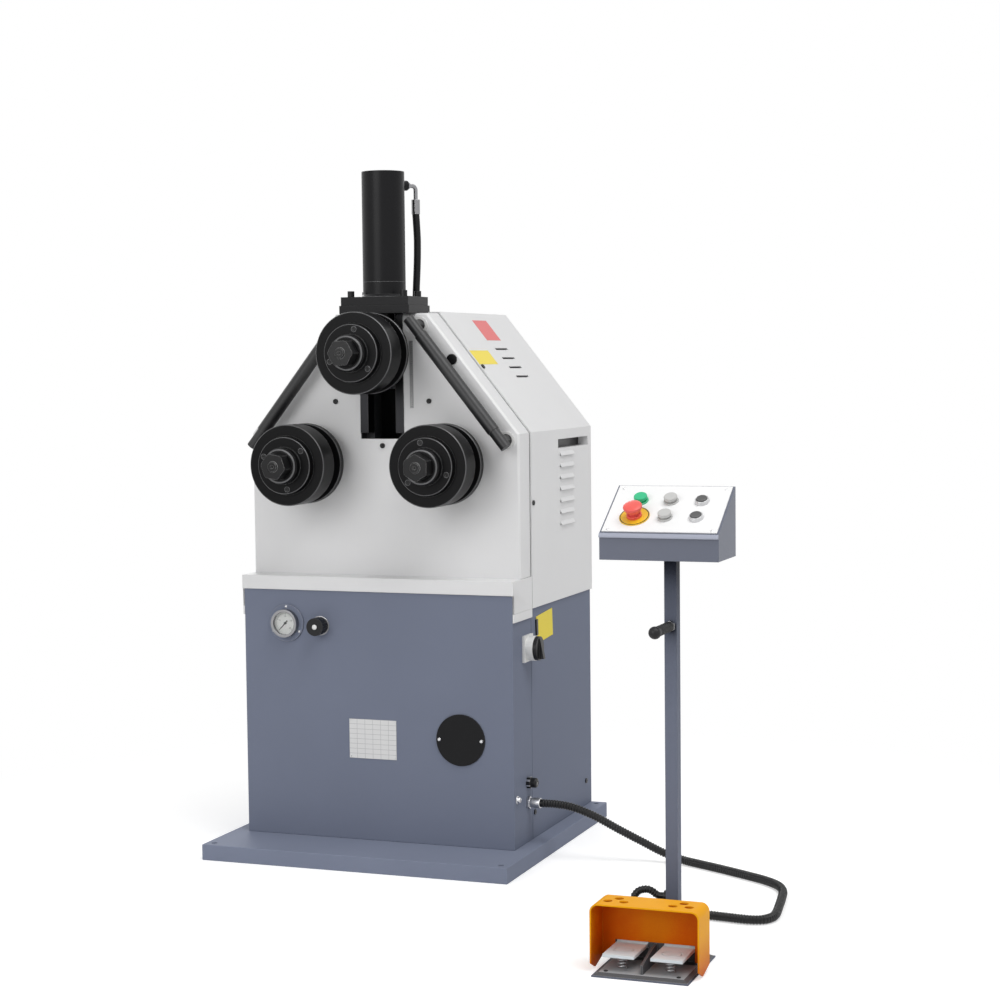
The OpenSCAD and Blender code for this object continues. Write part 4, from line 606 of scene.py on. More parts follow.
class Piece:
    """A mesh that is being modelled, in millimetres, in the machine's frame."""

    def __init__(self) -> None:
        """Starts with an empty mesh."""
        self.bm = bmesh.new()

    def _settle(self, known: set, place: Matrix) -> None:
        """Merges and turns out what was just made, and puts it in place.

        Args:
            known: Vertices that were there before.
            place: Matrix of the new shape.
        """
        fresh = [v for v in self.bm.verts if v not in known]
        bmesh.ops.remove_doubles(self.bm, verts=fresh, dist=1e-4)
        fresh = [v for v in self.bm.verts if v not in known]
        faces = list({f for v in fresh for f in v.link_faces})
        bmesh.ops.recalc_face_normals(self.bm, faces=faces)
        bmesh.ops.transform(self.bm, matrix=place, verts=fresh)

    def lathe(self, profile: Profile, place: Matrix = Matrix(), steps: int = 64) -> "Piece":
        """Adds a turned shape.

        Args:
            profile: Radius and height of each point.
            place: Place of the shape, whose axis is Z.
            steps: Steps of the full turn.

        Returns:
            This piece.
        """
        known = set(self.bm.verts)
        verts = [self.bm.verts.new((r, 0.0, h)) for r, h in profile]
        edges = [self.bm.edges.new(pair) for pair in zip(verts, verts[1:])]
        bmesh.ops.spin(
            self.bm, geom=verts + edges, cent=(0, 0, 0), axis=(0, 0, 1), angle=math.tau, steps=steps,
            use_merge=True,
        )
        self._settle(known, place)
        return self

    def block(self, low: Point, high: Point, place: Matrix = Matrix()) -> "Piece":
        """Adds a block between two corners.

        Args:
            low: Lowest corner.
            high: Highest corner.
            place: Place of the shape.

        Returns:
            This piece.
        """
        known = set(self.bm.verts)
        made = bmesh.ops.create_cube(self.bm, size=1.0)["verts"]
        size = Vector(high) - Vector(low)
        bmesh.ops.scale(self.bm, vec=size, verts=made)
        bmesh.ops.translate(self.bm, vec=(Vector(low) + Vector(high)) / 2, verts=made)
        self._settle(known, place)
        return self

    def prism(self, across: float, height: float, sides: int, place: Matrix, chamfer: float = 0.0) -> "Piece":
        """Adds a prism whose flats are a given distance apart.

        Args:
            across: Distance across flats.
            height: Height along Z.
            sides: Number of sides.
            place: Place of the shape.
            chamfer: Cut of the upper corners.

        Returns:
            This piece.
        """
        known = set(self.bm.verts)
        radius = across / 2 / math.cos(math.pi / sides)
        made = bmesh.ops.create_cone(
            self.bm, cap_ends=True, segments=sides, radius1=radius, radius2=radius, depth=height
        )["verts"]
        bmesh.ops.translate(self.bm, vec=(0, 0, height / 2), verts=made)
        if chamfer:
            upper = [v for v in made if v.co.z > height / 2]
            bmesh.ops.bevel(
                self.bm, geom=upper, offset=chamfer, affect="VERTICES", segments=2, profile=0.5, material=-1
            )
        self._settle(known, place)
        return self

    def tube(self, path: Sequence[Vector], radii: Sequence[float], sides: int, start: Vector) -> "Piece":
        """Adds a closed tube along a path.

        Args:
            path: Centre of each ring.
            radii: Radius of each ring.
            sides: Sides of the tube.
            start: Direction of the first side.

        Returns:
            This piece.
        """
        known = set(self.bm.verts)
        stretches = len(path) - 1
        made = bmesh.ops.create_grid(self.bm, x_segments=stretches, y_segments=sides, size=1.0)["verts"]
        side = Vector(start)
        rings = []
        for i in range(len(path)):
            along = (path[min(i + 1, stretches)] - path[max(i - 1, 0)]).normalized()
            side = (side - side.dot(along) * along).normalized()
            rings.append((path[i], side.copy(), along.cross(side)))
        for vert in made:
            ring = round((vert.co.x + 1.0) / 2.0 * stretches)
            angle = math.tau * round((vert.co.y + 1.0) / 2.0 * sides) / sides
            centre, first, second = rings[ring]
            vert.co = centre + radii[ring] * (math.cos(angle) * first + math.sin(angle) * second)
        bmesh.ops.remove_doubles(self.bm, verts=made, dist=1e-4)
        rims = [e for e in self.bm.edges if e.is_boundary]
        bmesh.ops.holes_fill(self.bm, edges=rims, sides=0)
        self._settle(known, Matrix())
        return self

    def soften(
        self, width: float, segments: int = 2, least_deg: float = 35.0, least_length: float = 0.0
    ) -> "Piece":
        """Rounds the sharp edges.

        Args:
            width: Width of the rounds.
            segments: Segments of each round.
            least_deg: Edges that turn less stay.
            least_length: Edges that are shorter stay.

        Returns:
            This piece.
        """
        limit = math.radians(least_deg)
        sharp = [
            e for e in self.bm.edges
            if e.is_manifold and e.calc_face_angle(0.0) > limit and e.calc_length() > least_length
        ]
        bmesh.ops.bevel(
            self.bm, geom=sharp, offset=width, affect="EDGES", segments=segments, profile=0.5,
            clamp_overlap=not least_length, material=-1,
        )
        return self

    def done(
        self, name: str, finish: Look, body: Body = Body.MACHINE, slot: str = "",
        smooth_deg: float = SMOOTH_DEG,
    ) -> bpy.types.Object:
        """Makes the object, dresses it and lets it ride.

        Args:
            name: Name of the object.
            finish: Its finish.
            body: Body that it rides on.
            slot: Not used.
            smooth_deg: Edges that turn more are drawn sharp.

        Returns:
            The object.
        """
        bmesh.ops.scale(self.bm, vec=(MM, MM, MM), verts=self.bm.verts)
        mesh = bpy.data.meshes.new(name)
        self.bm.to_mesh(mesh)
        self.bm.free()
        mesh.shade_smooth()
        mesh.set_sharp_from_angle(angle=math.radians(smooth_deg))
        mesh.materials.append(finish.material())
        piece = bpy.data.objects.new(name, mesh)
        bpy.context.scene.collection.objects.link(piece)
        flat = piece.modifiers.new("flat faces", "WEIGHTED_NORMAL")
        flat.keep_sharp = True
        flat.weight = 100
        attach(piece, body.value)
        log.info("%s rides on %s", name, body.value)
        return piece


def turned(
    name: str, profile: Profile, places: Sequence[Matrix], steps: int, finish: Look,
    body: Body = Body.MACHINE, slot: str = "", smooth_deg: float = SMOOTH_DEG,
) -> bpy.types.Object:
    """Makes a piece of equal turned shapes.

    Args:
        name: Name of the object.
        profile: Radius and height of each point.
        places: Place of each shape.
        steps: Steps of the full turn.
        finish: Finish of the piece.
        body: Body that it rides on.
        slot: Material slot of the record, passed on to the piece, which does not use it.
        smooth_deg: Edges that turn more are drawn sharp.

    Returns:
        The object.
    """
    piece = Piece()
    for place in places:
        piece.lathe(profile, place, steps)
    return piece.done(name, finish, body, slot, smooth_deg)


def slabs(
    name: str, boxes: Sequence[tuple[Point, Point]], finish: Look,
    slot: str = "", place: Matrix = Matrix(), rounding: float = 0.0,
) -> bpy.types.Object:
    """Makes a fixed piece of blocks.

    Args:
        name: Name of the object.
        boxes: Lowest and highest corner of each block.
        finish: Finish of the piece.
        slot: Material slot of the record, passed on to the piece, which does not use it.
        place: Place of the blocks.
        rounding: Width of the rounds on their edges.

    Returns:
        The object.
    """
    piece = Piece()
    for low, high in boxes:
        piece.block(low, high, place)
    if rounding:
        piece.soften(rounding)
    return piece.done(name, finish, slot=slot)


def ring(
    inner: float, outer: float, top: float, cut: tuple[float, float] = (0.0, 0.0), foot: float = 0.0
) -> Profile:
    """Closed outline of a ring.

    Args:
        inner: Inner radius.
        outer: Outer radius.
        top: Height of the upper face.
        cut: Width and height of the chamfer at the upper outer edge.
        foot: Height of the lower face.

    Returns:
        The outline.
    """
    edge = [(outer, top - cut[1]), (outer - cut[0], top)] if any(cut) else [(outer, top)]
    return [(inner, foot), (outer, foot), *edge, (inner, top), (inner, foot)]


def socket_screw(piece: Piece, place: Matrix, across: float, height: float) -> None:
    """Adds a screw head with a round recess.

    Args:
        piece: Piece that gets the head.
        place: Foot of the head.
        across: Diameter of the head.
        height: Height of the head.
    """
    r = across / 2
    rim = height * 0.25
    recess = r * 0.5
    profile = [(0, 0), (r, 0), (r, height - rim), (r - rim, height), (recess, height), (recess, height / 2)]
    piece.lathe(profile + [(0, height / 2)], place, 24)


# Camera and studio


@dataclass
class PhotoCamera:
    """The camera at the photograph's place, solved for a square picture."""

    lens: float = 75.72
    sensor: float = 36.0
    azimuth_deg: float = 20.39
    elevation_deg: float = 3.73
    roll_deg: float = -0.61
    place: Point = (1.97269, -4.67253, 1.15268)

    def build(self) -> None:
        """Makes the camera and sets it as the scene's own."""
        a, e, r = (math.radians(d) for d in (self.azimuth_deg, self.elevation_deg, self.roll_deg))
        back = Vector((math.sin(a) * math.cos(e), -math.cos(a) * math.cos(e), math.sin(e)))
        level = Vector((math.cos(a), math.sin(a), 0.0))
        upright = back.cross(level)
        right = math.cos(r) * level + math.sin(r) * upright
        up = math.cos(r) * upright - math.sin(r) * level
        turn = Matrix((right, up, back)).transposed().to_4x4()
        data = bpy.data.cameras.new("photo camera")
        data.lens = self.lens
        data.sensor_width = self.sensor
        data.clip_end = 100.0
        camera = bpy.data.objects.new("photo camera", data)
        camera.matrix_world = Matrix.Translation(self.place) @ turn
        bpy.context.scene.collection.objects.link(camera)
        bpy.context.scene.camera = camera


@dataclass
class SoftLight:
    """One square area lamp of the studio."""

    name: str
    place: Point
    aim: Point
    size: float
    level: float

    def build(self) -> None:
        """Makes the lamp; its level is the share of a facing colour that it renders by itself."""
        data = bpy.data.lights.new(self.name, "AREA")
        data.shape = "SQUARE"
        data.size = self.size
        reach = Vector(self.aim) - Vector(self.place)
        data.energy = self.level * math.pi ** 2 * reach.length_squared
        lamp = bpy.data.objects.new(self.name, data)
        lamp.location = self.place
        lamp.rotation_mode = "QUATERNION"
        lamp.rotation_quaternion = reach.to_track_quat("-Z", "Y")
        bpy.context.scene.collection.objects.link(lamp)


@dataclass
class Studio:
    """Pale floor, white surround and soft lamps."""

    ambient: float = 0.46
    floor_half: float = 40.0
    floor_colour: Colour = (0.80, 0.80, 0.80)
    floor_lift: float = 0.42
    floor_rough: float = 0.9
    fade_centre: Point = (0.35, -0.3, 0.0)
    fade_start: float = 0.8
    fade_end: float = 1.9
    lamps: list[SoftLight] = field(default_factory=lambda: [
        SoftLight("key lamp", (2.6, -1.6, 5.2), (0.2, -0.2, 0.7), 3.2, 0.52),
        SoftLight("front lamp", (-1.2, -5.2, 2.6), (0.2, -0.2, 0.7), 3.0, 0.27),
        SoftLight("back lamp", (-2.4, 4.2, 3.4), (0.2, 0.0, 0.8), 2.6, 0.25),
    ])

    def build(self) -> None:
        """Makes the world, the floor and the lamps."""
        bpy.context.scene.view_settings.view_transform = "Standard"
        self._world()
        self._floor()
        for lamp in self.lamps:
            lamp.build()

    @staticmethod
    def _seen(tree: Tree) -> Socket:
        """Adds a socket that is 1 for what the camera sees straight, mirrored or through glass.

        Args:
            tree: Tree that gets the nodes.

        Returns:
            The socket.
        """
        path = tree.nodes.new("ShaderNodeLightPath").outputs
        near = calc(tree, "MAXIMUM", path["Is Camera Ray"], path["Is Glossy Ray"])
        return calc(tree, "MAXIMUM", near, path["Is Transmission Ray"])

    def _world(self) -> None:
        """Makes a surround that lights softly and shows as white."""
        world = bpy.data.worlds.new("white surround")
        world.use_nodes = True
        tree = world.node_tree
        level = spread(tree, self._seen(tree), self.ambient, 1.0)
        feed(tree, tree.nodes["Background"], {"Color": (*grey(1.0), 1.0), "Strength": level})
        bpy.context.scene.world = world

    def _far(self, tree: Tree) -> Socket:
        """Adds a socket that rises from 0 at the object to 1 where the seen floor is plain white.

        Args:
            tree: Tree that gets the nodes.

        Returns:
            The socket.
        """
        place = add_node(tree, "TexCoord", {}, "Object")
        reach = vector_calc(tree, "DISTANCE", place, self.fade_centre, "Value")
        stretch = {"Value": reach, "From Min": self.fade_start, "From Max": self.fade_end}
        fade = add_node(tree, "MapRange", stretch, interpolation_type="SMOOTHSTEP")
        return calc(tree, "MULTIPLY", fade, self._seen(tree))

    def _floor(self) -> None:
        """Makes the pale floor, which keeps the shadow and fades to white."""
        material = bpy.data.materials.new("pale floor")
        material.use_nodes = True
        tree = material.node_tree
        shader = tree.nodes["Principled BSDF"]
        feed(tree, shader, {
            "Base Color": (*self.floor_colour, 1.0), "Roughness": self.floor_rough,
            "Specular IOR Level": 0.0, "Emission Color": (*grey(1.0), 1.0),
            "Emission Strength": spread(tree, self._seen(tree), 0.0, self.floor_lift),
        })
        white = add_node(tree, "Emission", {})
        faded = add_node(tree, "MixShader", {0: self._far(tree), 1: shader.outputs[0], 2: white})
        feed(tree, tree.nodes["Material Output"], {"Surface": faded})
        bm = bmesh.new()
        bmesh.ops.create_grid(bm, x_segments=1, y_segments=1, size=self.floor_half)
        mesh = bpy.data.meshes.new("studio_floor")
        bm.to_mesh(mesh)
        bm.free()
        mesh.materials.append(material)
        floor = bpy.data.objects.new("studio_floor", mesh)
        bpy.context.scene.collection.objects.link(floor)


# Conduits, hose and springs


def smooth_path(route: Sequence[Point], steps: int = 12) -> list[Vector]:
    """Points of a smooth curve through a route.

    Args:
        route: Points that the curve passes.
        steps: Points to each stretch.

    Returns:
        The points.
    """
    knots = [Vector(p) for p in route]
    last = len(knots) - 1
    path = []
    for i in range(last):
        a, b, c, d = (knots[min(max(k, 0), last)] for k in (i - 1, i, i + 1, i + 2))
        for k in range(steps):
            t = k / steps
            bend = (2 * a - 5 * b + 4 * c - d) * t ** 2 + (3 * b - a - 3 * c + d) * t ** 3
            path.append(0.5 * (2 * b + (c - a) * t + bend))
    return path + [knots[last]]


def spaced(path: Sequence[Vector], count: int) -> list[Vector]:
    """The path again, as evenly spaced points.

    Args:
        path: Points of the path.
        count: Number of stretches.

    Returns:
        The new points, with both ends kept.
    """
    runs = [0.0]
    for a, b in zip(path, path[1:]):
        runs.append(runs[-1] + (b - a).length)
    points = []
    at = 0
    for k in range(count + 1):
        want = runs[-1] * k / count
        while at < len(path) - 2 and runs[at + 1] < want:
            at += 1
        share = (want - runs[at]) / (runs[at + 1] - runs[at])
        points.append(path[at].lerp(path[at + 1], share))
    return points


@dataclass
class FlexibleLine:
    """A conduit or hose along a route, in millimetres, with the solid that it stands for."""

    name: str
    node: str
    route: Sequence[Point]
    diameter: float
    length: float
    start: Point
    finish: Finish
    slot: str
    ribs: int = 0
    rib_depth: float = 0.0
    rib_steps: int = 5
    stiffness: str = "stiff"
    lay: str = "loose"
    sides: int = 14
    plain_steps: int = 200

    def build(self) -> None:
        steps = self.ribs * self.rib_steps if self.ribs else self.plain_steps
        path = spaced(smooth_path(self.route), steps)
        radii = [self._radius(i, steps) for i in range(steps + 1)]
        piece = Piece().tube(path, radii, self.sides, Vector(self.start))
        line = piece.done(self.name, self.finish, slot=self.slot, smooth_deg=60.0)
        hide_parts(self.node)

    def _radius(self, ring: int, steps: int) -> float:
        """Radius of a ring, on a rib or between two.

        Args:
            ring: Number of the ring.
            steps: Number of the last ring.

        Returns:
            The radius.
        """
        outer = self.diameter / 2
        if not self.ribs:
            return outer
        plain = self.diameter / (self.length / MM / steps)
        if ring < plain or ring > steps - plain:
            return outer - self.rib_depth / 2
        wave = 0.5 - 0.5 * math.cos(math.tau * ring / self.rib_steps)
        return outer - self.rib_depth * (1.0 - wave)


CONDUIT_ROUTE = [
    (356.3, -114, 131), (376.3, -114, 131), (408.3, -114, 131), (440, -114, 128), (472, -111, 119),
    (508, -104, 103), (554, -90, 76), (604, -74, 48), (650, -66, 25), (700, -72, 12),
    (750, -94, 10), (806, -124, 10), (868, -160, 10), (920, -193, 10), (958, -230, 10),
    (979, -276, 10), (990, -336, 10), (999, -400, 10), (1006, -456, 10), (1005, -490, 10),
    (990, -515, 10), (960, -523, 10), (910, -518, 10), (850, -513, 10), (792, -518, 10),
    (744, -546, 10), (716, -594, 10), (716, -648, 12), (744, -694, 18), (782, -717, 27),
    (802, -722, 32.6), (812.7, -722, 34), (823.7, -722, 34), (836.2, -722, 34),
]
PEDAL_ROUTE = [
    (800, -777.7, 50), (800, -769.7, 50), (800, -761.7, 50), (797, -750.7, 54), (790, -741.7, 64),
    (784, -735.7, 78), (782, -731.7, 92), (786, -726.7, 101), (793, -722.7, 106), (802.2, -722, 108.5),
    (810.2, -722, 108.5), (817.7, -722, 105.5), (825.2, -722, 100.5), (831.2, -722, 98), (836.2, -722, 98),
    (842.2, -722, 98),
]
HOSE_ROUTE = [
    (50, -50, 1505), (51.5, -50, 1480), (53, -50, 1445), (52.5, -50, 1405), (51, -50, 1370),
    (49, -50, 1335), (47.5, -50, 1300), (46.5, -50, 1260), (46, -50, 1200), (46, -50, 1000),
    (46, -50, 800), (46, -50, 632),
]

LINES = [
    FlexibleLine(
        "conduit_to_pedestal", "machine_conduit", CONDUIT_ROUTE, 20.0, 1.502, (0, 1, 0), RUBBER,
        "conduit_plastic", ribs=230, rib_depth=1.9,
    ),
    FlexibleLine(
        "conduit_to_pedal", "pedal_conduit", PEDAL_ROUTE, 16.0, 0.148, (1, 0, 0), RUBBER, "conduit_plastic",
        ribs=27, rib_depth=1.5,
    ),
    FlexibleLine(
        "pressure_hose", "hydraulic_hose", HOSE_ROUTE, 17.0, 0.873, (1, 0, 0), HOSE_RUBBER, "hose_rubber",
        lay="hanging", sides=20,
    ),
]


@dataclass
class PedalSpring:
    """Coil spring under a pedal."""

    name: str
    node: str
    joint: str
    foot: Point
    coil_d: float = 19.0
    wire: float = 2.0
    height: float = 26.0
    turns: float = 4.0
    lift: float = 0.2
    keep: float = 0.76
    steps: int = 30

    def build(self) -> None:
        """Makes the wire's helix."""
        radius = (self.coil_d - self.wire) / 2
        rise = self.height - self.wire - 2 * self.lift
        count = round(self.turns * self.steps)
        low = Vector(self.foot) + Vector((0, 0, self.wire / 2 + self.lift))
        path = []
        for i in range(count + 1):
            angle = math.tau * i / self.steps
            path.append(low + Vector((radius * math.cos(angle), radius * math.sin(angle), rise * i / count)))
        piece = Piece().tube(path, [self.wire / 2] * len(path), 10, Vector((0, 0, 1)))
        spring = piece.done(self.name, BRIGHT_STEEL, slot="bright_steel")
        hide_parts(self.node)
        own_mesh(spring)


SPRINGS = [
    PedalSpring("left_spring_wire", "left_pedal_spring", "left_pedal_press", (818, -928, 8)),
    PedalSpring("right_spring_wire", "right_pedal_spring", "right_pedal_press", (912, -928, 8)),
]


# Rolls


@dataclass
class RollDress:
    """A bending roll with its clamp plate, collar, nut and three screws."""

    name: str
    node: str
    body: Body
    centre: tuple[float, float]
    back_y: float
    flange: float
    screw_turn: float
    nut_turn: float
    radius: float = 94.0
    groove_r: float = 73.0
    groove_w: float = 35.0
    rim_w: float = 58.0
    bore_r: float = 25.2
    bevel: float = 1.8
    glint: float = 0.08
    plate_r: float = 66.0
    plate_t: float = 16.0
    collar_r: float = 42.0
    collar_t: float = 25.0
    nut_af: float = 55.0
    nut_t: float = 33.0
    eye_r: float = 12.2
    boss_t: float = 3.0
    centre_r: float = 3.4
    screw_r: float = 55.0
    screw_d: float = 11.0
    screw_t: float = 2.2
    seat_w: float = 1.1
    lap: float = 0.6
    dish: float = 0.8

    @property
    def rim(self) -> float:
        """Height of the rim's back."""
        return self.flange + self.groove_w

    @property
    def front(self) -> float:
        """Height of the roll's front."""
        return self.rim + self.rim_w

    @property
    def face(self) -> float:
        """Height of the clamp plate's face."""
        return self.front + self.plate_t

    @property
    def end(self) -> float:
        """Height of the collar's end."""
        return self.face + self.collar_t

    def build(self) -> None:
        """Makes the turned roll, the clamp plate with its collar, the nut and the screws."""
        x, z = self.centre
        # The light edge colour of the turned steel is partly wear and partly painted highlight
        steel = TurnedFinish(
            self.name + " turned steel", BLACK_OXIDE.colour, 0.34, specular=0.10, wear=1.0, worn=grey(0.20),
            dust=0.0, grain_depth=0.00005, axis=(x * MM, z * MM),
        )
        place = forward((x, self.back_y, z))
        dress = (self.body, "roll_steel", SHARP_DEG)
        roll = turned(self.name + "_turned", self._roll_profile(), [place], 128, steel, *dress)
        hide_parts(self.node)
        turned(self.name + "_clamp_plate", self._plate_profile(), [place], 96, steel, *dress)
        self._nut(place).done(self.name + "_clamp_nut", NUT_STEEL, *dress)
        screws = Piece()
        for at in self._screw_places(place, self.face - 1.0):
            socket_screw(screws, at, self.screw_d, self.screw_t)
        screws.done(self.name + "_plate_screws", BLACK_OXIDE, self.body, "screw_steel")
        self._wear_and_glint_edges(place).done(self.name + "_wear_and_glint_edges", WEAR_AND_GLINT_STEEL, *dress)

    def _roll_profile(self) -> Profile:
        """Outline of the flange, groove and rim, as a closed ring."""
        r, b, g, p = self.radius, self.bevel, self.groove_r, self.plate_r
        low, high, top = self.flange, self.rim, self.front
        seat = top - self.dish
        return [
            (self.bore_r, 0), (r - b, 0), (r, b), (r, low - b), (r - b, low), (g + b, low), (g, low + b),
            (g, high - b), (g + b, high), (r - b, high), (r, high + b), (r, top - b), (r - b, top),
            (p + 3, top), (p + 2.4, seat), (p, seat), (self.bore_r, seat), (self.bore_r, 0),
        ]

    def _plate_profile(self) -> Profile:
        """Outline of the clamp plate and its collar, as a closed ring."""
        foot, face, end = self.front - self.lap, self.face, self.end
        p, c = self.plate_r, self.collar_r
        return [
            (self.eye_r, foot), (p, foot), (p, face - 1.8), (p - 1.8, face), (c + 1.2, face), (c, face + 1.2),
            (c, end - 7), (c - 2.5, end - 3), (c - 8, end), (self.eye_r, end), (self.eye_r, foot),
        ]

    def _nut(self, place: Matrix) -> Piece:
        """Makes the clamp nut with its chamfered corners, and the drilled shaft end in it.

        Args:
            place: Place of the roll.

        Returns:
            The piece.
        """
        turn = Matrix.Rotation(math.radians(self.nut_turn), 4, "Z")
        at = place @ Matrix.Translation((0, 0, self.end - 1)) @ turn
        piece = Piece().prism(self.nut_af, self.nut_t, 6, at, 6.0).soften(0.8, 2, 25.0)
        foot = self.nut_t - 3
        top = self.nut_t + 1 + self.boss_t
        boss, hole = self.eye_r + 0.4, self.centre_r
        end = [
            (hole, foot), (boss, foot), (boss, self.nut_t + 1.6), (boss - 2, top), (hole + 1, top),
            (hole, top - 1), (hole, foot),
        ]
        return piece.lathe(end, at, 48)

    def _screw_places(self, place: Matrix, height: float) -> list[Matrix]:
        """Places of the three screws of the clamp plate.

        Args:
            place: Place of the roll.
            height: Height of the screws on it.

        Returns:
            The matrices.
        """
        turns = [Matrix.Rotation(math.radians(self.screw_turn + 120 * i), 4, "Z") for i in range(3)]
        return [place @ turn @ Matrix.Translation((self.screw_r, 0, height)) for turn in turns]

    def _wear_and_glint_edges(self, place: Matrix) -> Piece:
        """Makes the thin bright bevels on the roll, the clamp plate and the screw seats, partly wear and
        partly painted highlight.

        Args:
            place: Place of the roll.

        Returns:
            The piece.
        """
        piece = Piece()
        cut, glint = self.bevel, self.glint
        edges = [(self.radius, self.flange, 1), (self.radius, self.rim, -1), (self.radius, self.front, 1),
                 (self.plate_r, self.face, 1)]
        for r, h, out in edges:
            lip, deep = h + out * glint, h - out * cut
            piece.lathe([(r - cut, lip), (r + glint, deep), (r - cut, deep), (r - cut, lip)], place, 128)
        # The collar's bright chamfer ring, partly wear and partly painted highlight
        c, end = self.collar_r, self.end
        worn = [(c - 6.5, end - 0.7), (c - 2.4, end - 2.9), (c - 4, end - 4), (c - 6.5, end - 0.7)]
        piece.lathe(worn, place, 96)
        inner = self.screw_d / 2 + 0.2
        for at in self._screw_places(place, self.face):
            piece.lathe(ring(inner, inner + self.seat_w, 0.1, foot=-0.5), at, 32)
        return piece


ROLLS = [
    RollDress("top_roll", "top_roll", Body.TOP_ROLL, (0, 1178), -207, 10, 80, 30),
    RollDress("left_roll", "left_roll", Body.LEFT_ROLL, (-175, 922), -192, 18, 38, 20),
    RollDress("right_roll", "right_roll", Body.RIGHT_ROLL, (175, 922), -192, 18, 101, 0),
]


# Cylinder and side rods


@dataclass
class CylinderDress:
    """Weld line and seam of the hydraulic cylinder, as thin bright rings that are partly painted highlight.
    """

    axis_y: float = -127.0
    radius: float = 50.0
    flange_top: float = 1309.0
    weld: float = 6.0
    seam_z: float = 1344.0

    def build(self) -> None:
        """Makes the two thin rings."""
        r = self.radius
        toe = r + self.weld
        bead = [(toe - 1.2, 0), (toe + 0.8, 0), (toe + 0.2, 1.0), (toe - 1.2, 1.4), (toe - 1.2, 0)]
        piece = Piece().lathe(bead, stand((0, self.axis_y, self.flange_top)), 96)
        piece.lathe(ring(r - 0.5, r + 0.1, 0.5, foot=-0.5), stand((0, self.axis_y, self.seam_z)), 96)
        piece.done("cylinder_lines", WEAR_AND_GLINT_STEEL)


@dataclass
class RodWashers:
    """Pale washers under the stand-offs of the side rods."""

    eaves: tuple[float, float] = (340.0, 990.0)
    panel_y: float = -150.0
    slope_deg: float = 51.465
    inside: float = 33.0
    middle: float = 178.0
    reach: float = 170.0
    washer_r: float = 20.3
    hole_r: float = 14.0
    thick: float = 3.2

    def build(self) -> None:
        """Makes the four washers."""
        a = math.radians(self.slope_deg)
        places = []
        for side in (-1, 1):
            for along in (self.middle - self.reach, self.middle + self.reach):
                x = self.eaves[0] - self.inside * math.sin(a) - along * math.cos(a)
                z = self.eaves[1] - self.inside * math.cos(a) + along * math.sin(a)
                places.append(forward((side * x, self.panel_y, z)))
        washer = ring(self.hole_r, self.washer_r, self.thick, (0.6, 0.6))
        turned("rod_washers", washer, places, 48, WHITE_PLASTIC)


# Gauge and regulator


@dataclass
class GaugeDress:
    """Dial card, ticks, numbers, flange skin and screws of the pressure gauge."""

    centre: tuple[float, float] = (-229.0, 544.0)
    front_y: float = -206.0
    dial_y: float = -214.0
    dial_r: float = 27.4
    card_t: float = 0.3
    first_deg: float = 225.0
    sweep_deg: float = 270.0
    ticks: int = 40
    tick_in: float = 3.0
    long_tick: tuple[float, float] = (4.5, 0.35)
    short_tick: tuple[float, float] = (2.6, 0.16)
    numbers: tuple[str, ...] = ("0", "10", "20", "30", "40")
    number_r: float = 16.5
    number_size: float = 5.0
    flange_t: float = 4.0
    flange_r: float = 44.3
    bezel_r: float = 33.0
    screw_r: float = 38.5
    head_r: float = 3.2

    def build(self) -> None:
        """Makes the dial, its print and the screws."""
        x, z = self.centre
        t, r = self.card_t, self.head_r
        card = [(0, 0), (self.dial_r, 0), (self.dial_r, t), (2.2, t), (2.2, 0.25), (0, 0.25)]
        turned("gauge_dial", card, [forward((x, self.dial_y, z))], 96, DIAL_WHITE)
        self._print()
        head = [(0, 0), (r, 0), (r, 0.8), (r * 0.7, 1.7), (0, 2.1)]
        front = self.front_y - self.flange_t
        places = [self._at(math.radians(deg), self.screw_r, front) for deg in (90, 210, 330)]
        turned("gauge_flange_screws", head, places, 20, BRIGHT_STEEL, slot="screw_steel")
        skin = ring(self.bezel_r, self.flange_r, self.flange_t + 0.3, (0.8, 0.9))
        turned("gauge_flange_skin", skin, [forward((x, self.front_y, z))], 96, GREY_COAT)

    def _angle(self, share: float) -> float:
        """Angle of a reading on the dial, anticlockwise from the right, in radians."""
        return math.radians(self.first_deg - self.sweep_deg * share)

    def _at(self, angle: float, radius: float, y: float) -> Matrix:
        """Place at an angle and a radius round the gauge's middle, which looks to the front."""
        x, z = self.centre
        return forward((x + radius * math.cos(angle), y, z + radius * math.sin(angle)))

    def _print(self) -> None:
        """Makes the ticks and the numbers of the dial."""
        piece = Piece()
        face = self.dial_y - self.card_t
        middle = forward((self.centre[0], face, self.centre[1]))
        tip = self.dial_r - self.tick_in
        for i in range(self.ticks + 1):
            length, half = self.short_tick if i % 10 else self.long_tick
            turn = Matrix.Rotation(self._angle(i / self.ticks), 4, "Z")
            piece.block((tip - length, -half, 0), (tip, half, 0.12), middle @ turn)
        for i, word in enumerate(self.numbers):
            angle = self._angle(i / (len(self.numbers) - 1))
            self._number(piece, word, self._at(angle, self.number_r, face))
        piece.done("gauge_dial_print", DIAL_INK)

    def _number(self, piece: Piece, word: str, place: Matrix) -> None:
        """Adds a number to the dial's print.

        Args:
            piece: Piece that gets the number.
            word: The number.
            place: Middle of the number, on the dial.
        """
        data = bpy.data.curves.new("dial number", "FONT")
        data.body = word
        data.size = self.number_size
        data.align_x = "CENTER"
        data.align_y = "CENTER"
        data.extrude = 0.06
        data.resolution_u = 3
        writer = bpy.data.objects.new("dial number", data)
        mesh = bpy.data.meshes.new_from_object(writer)
        mesh.transform(place)
        piece.bm.from_mesh(mesh)
        bpy.data.objects.remove(writer)
        bpy.data.curves.remove(data)
        bpy.data.meshes.remove(mesh)


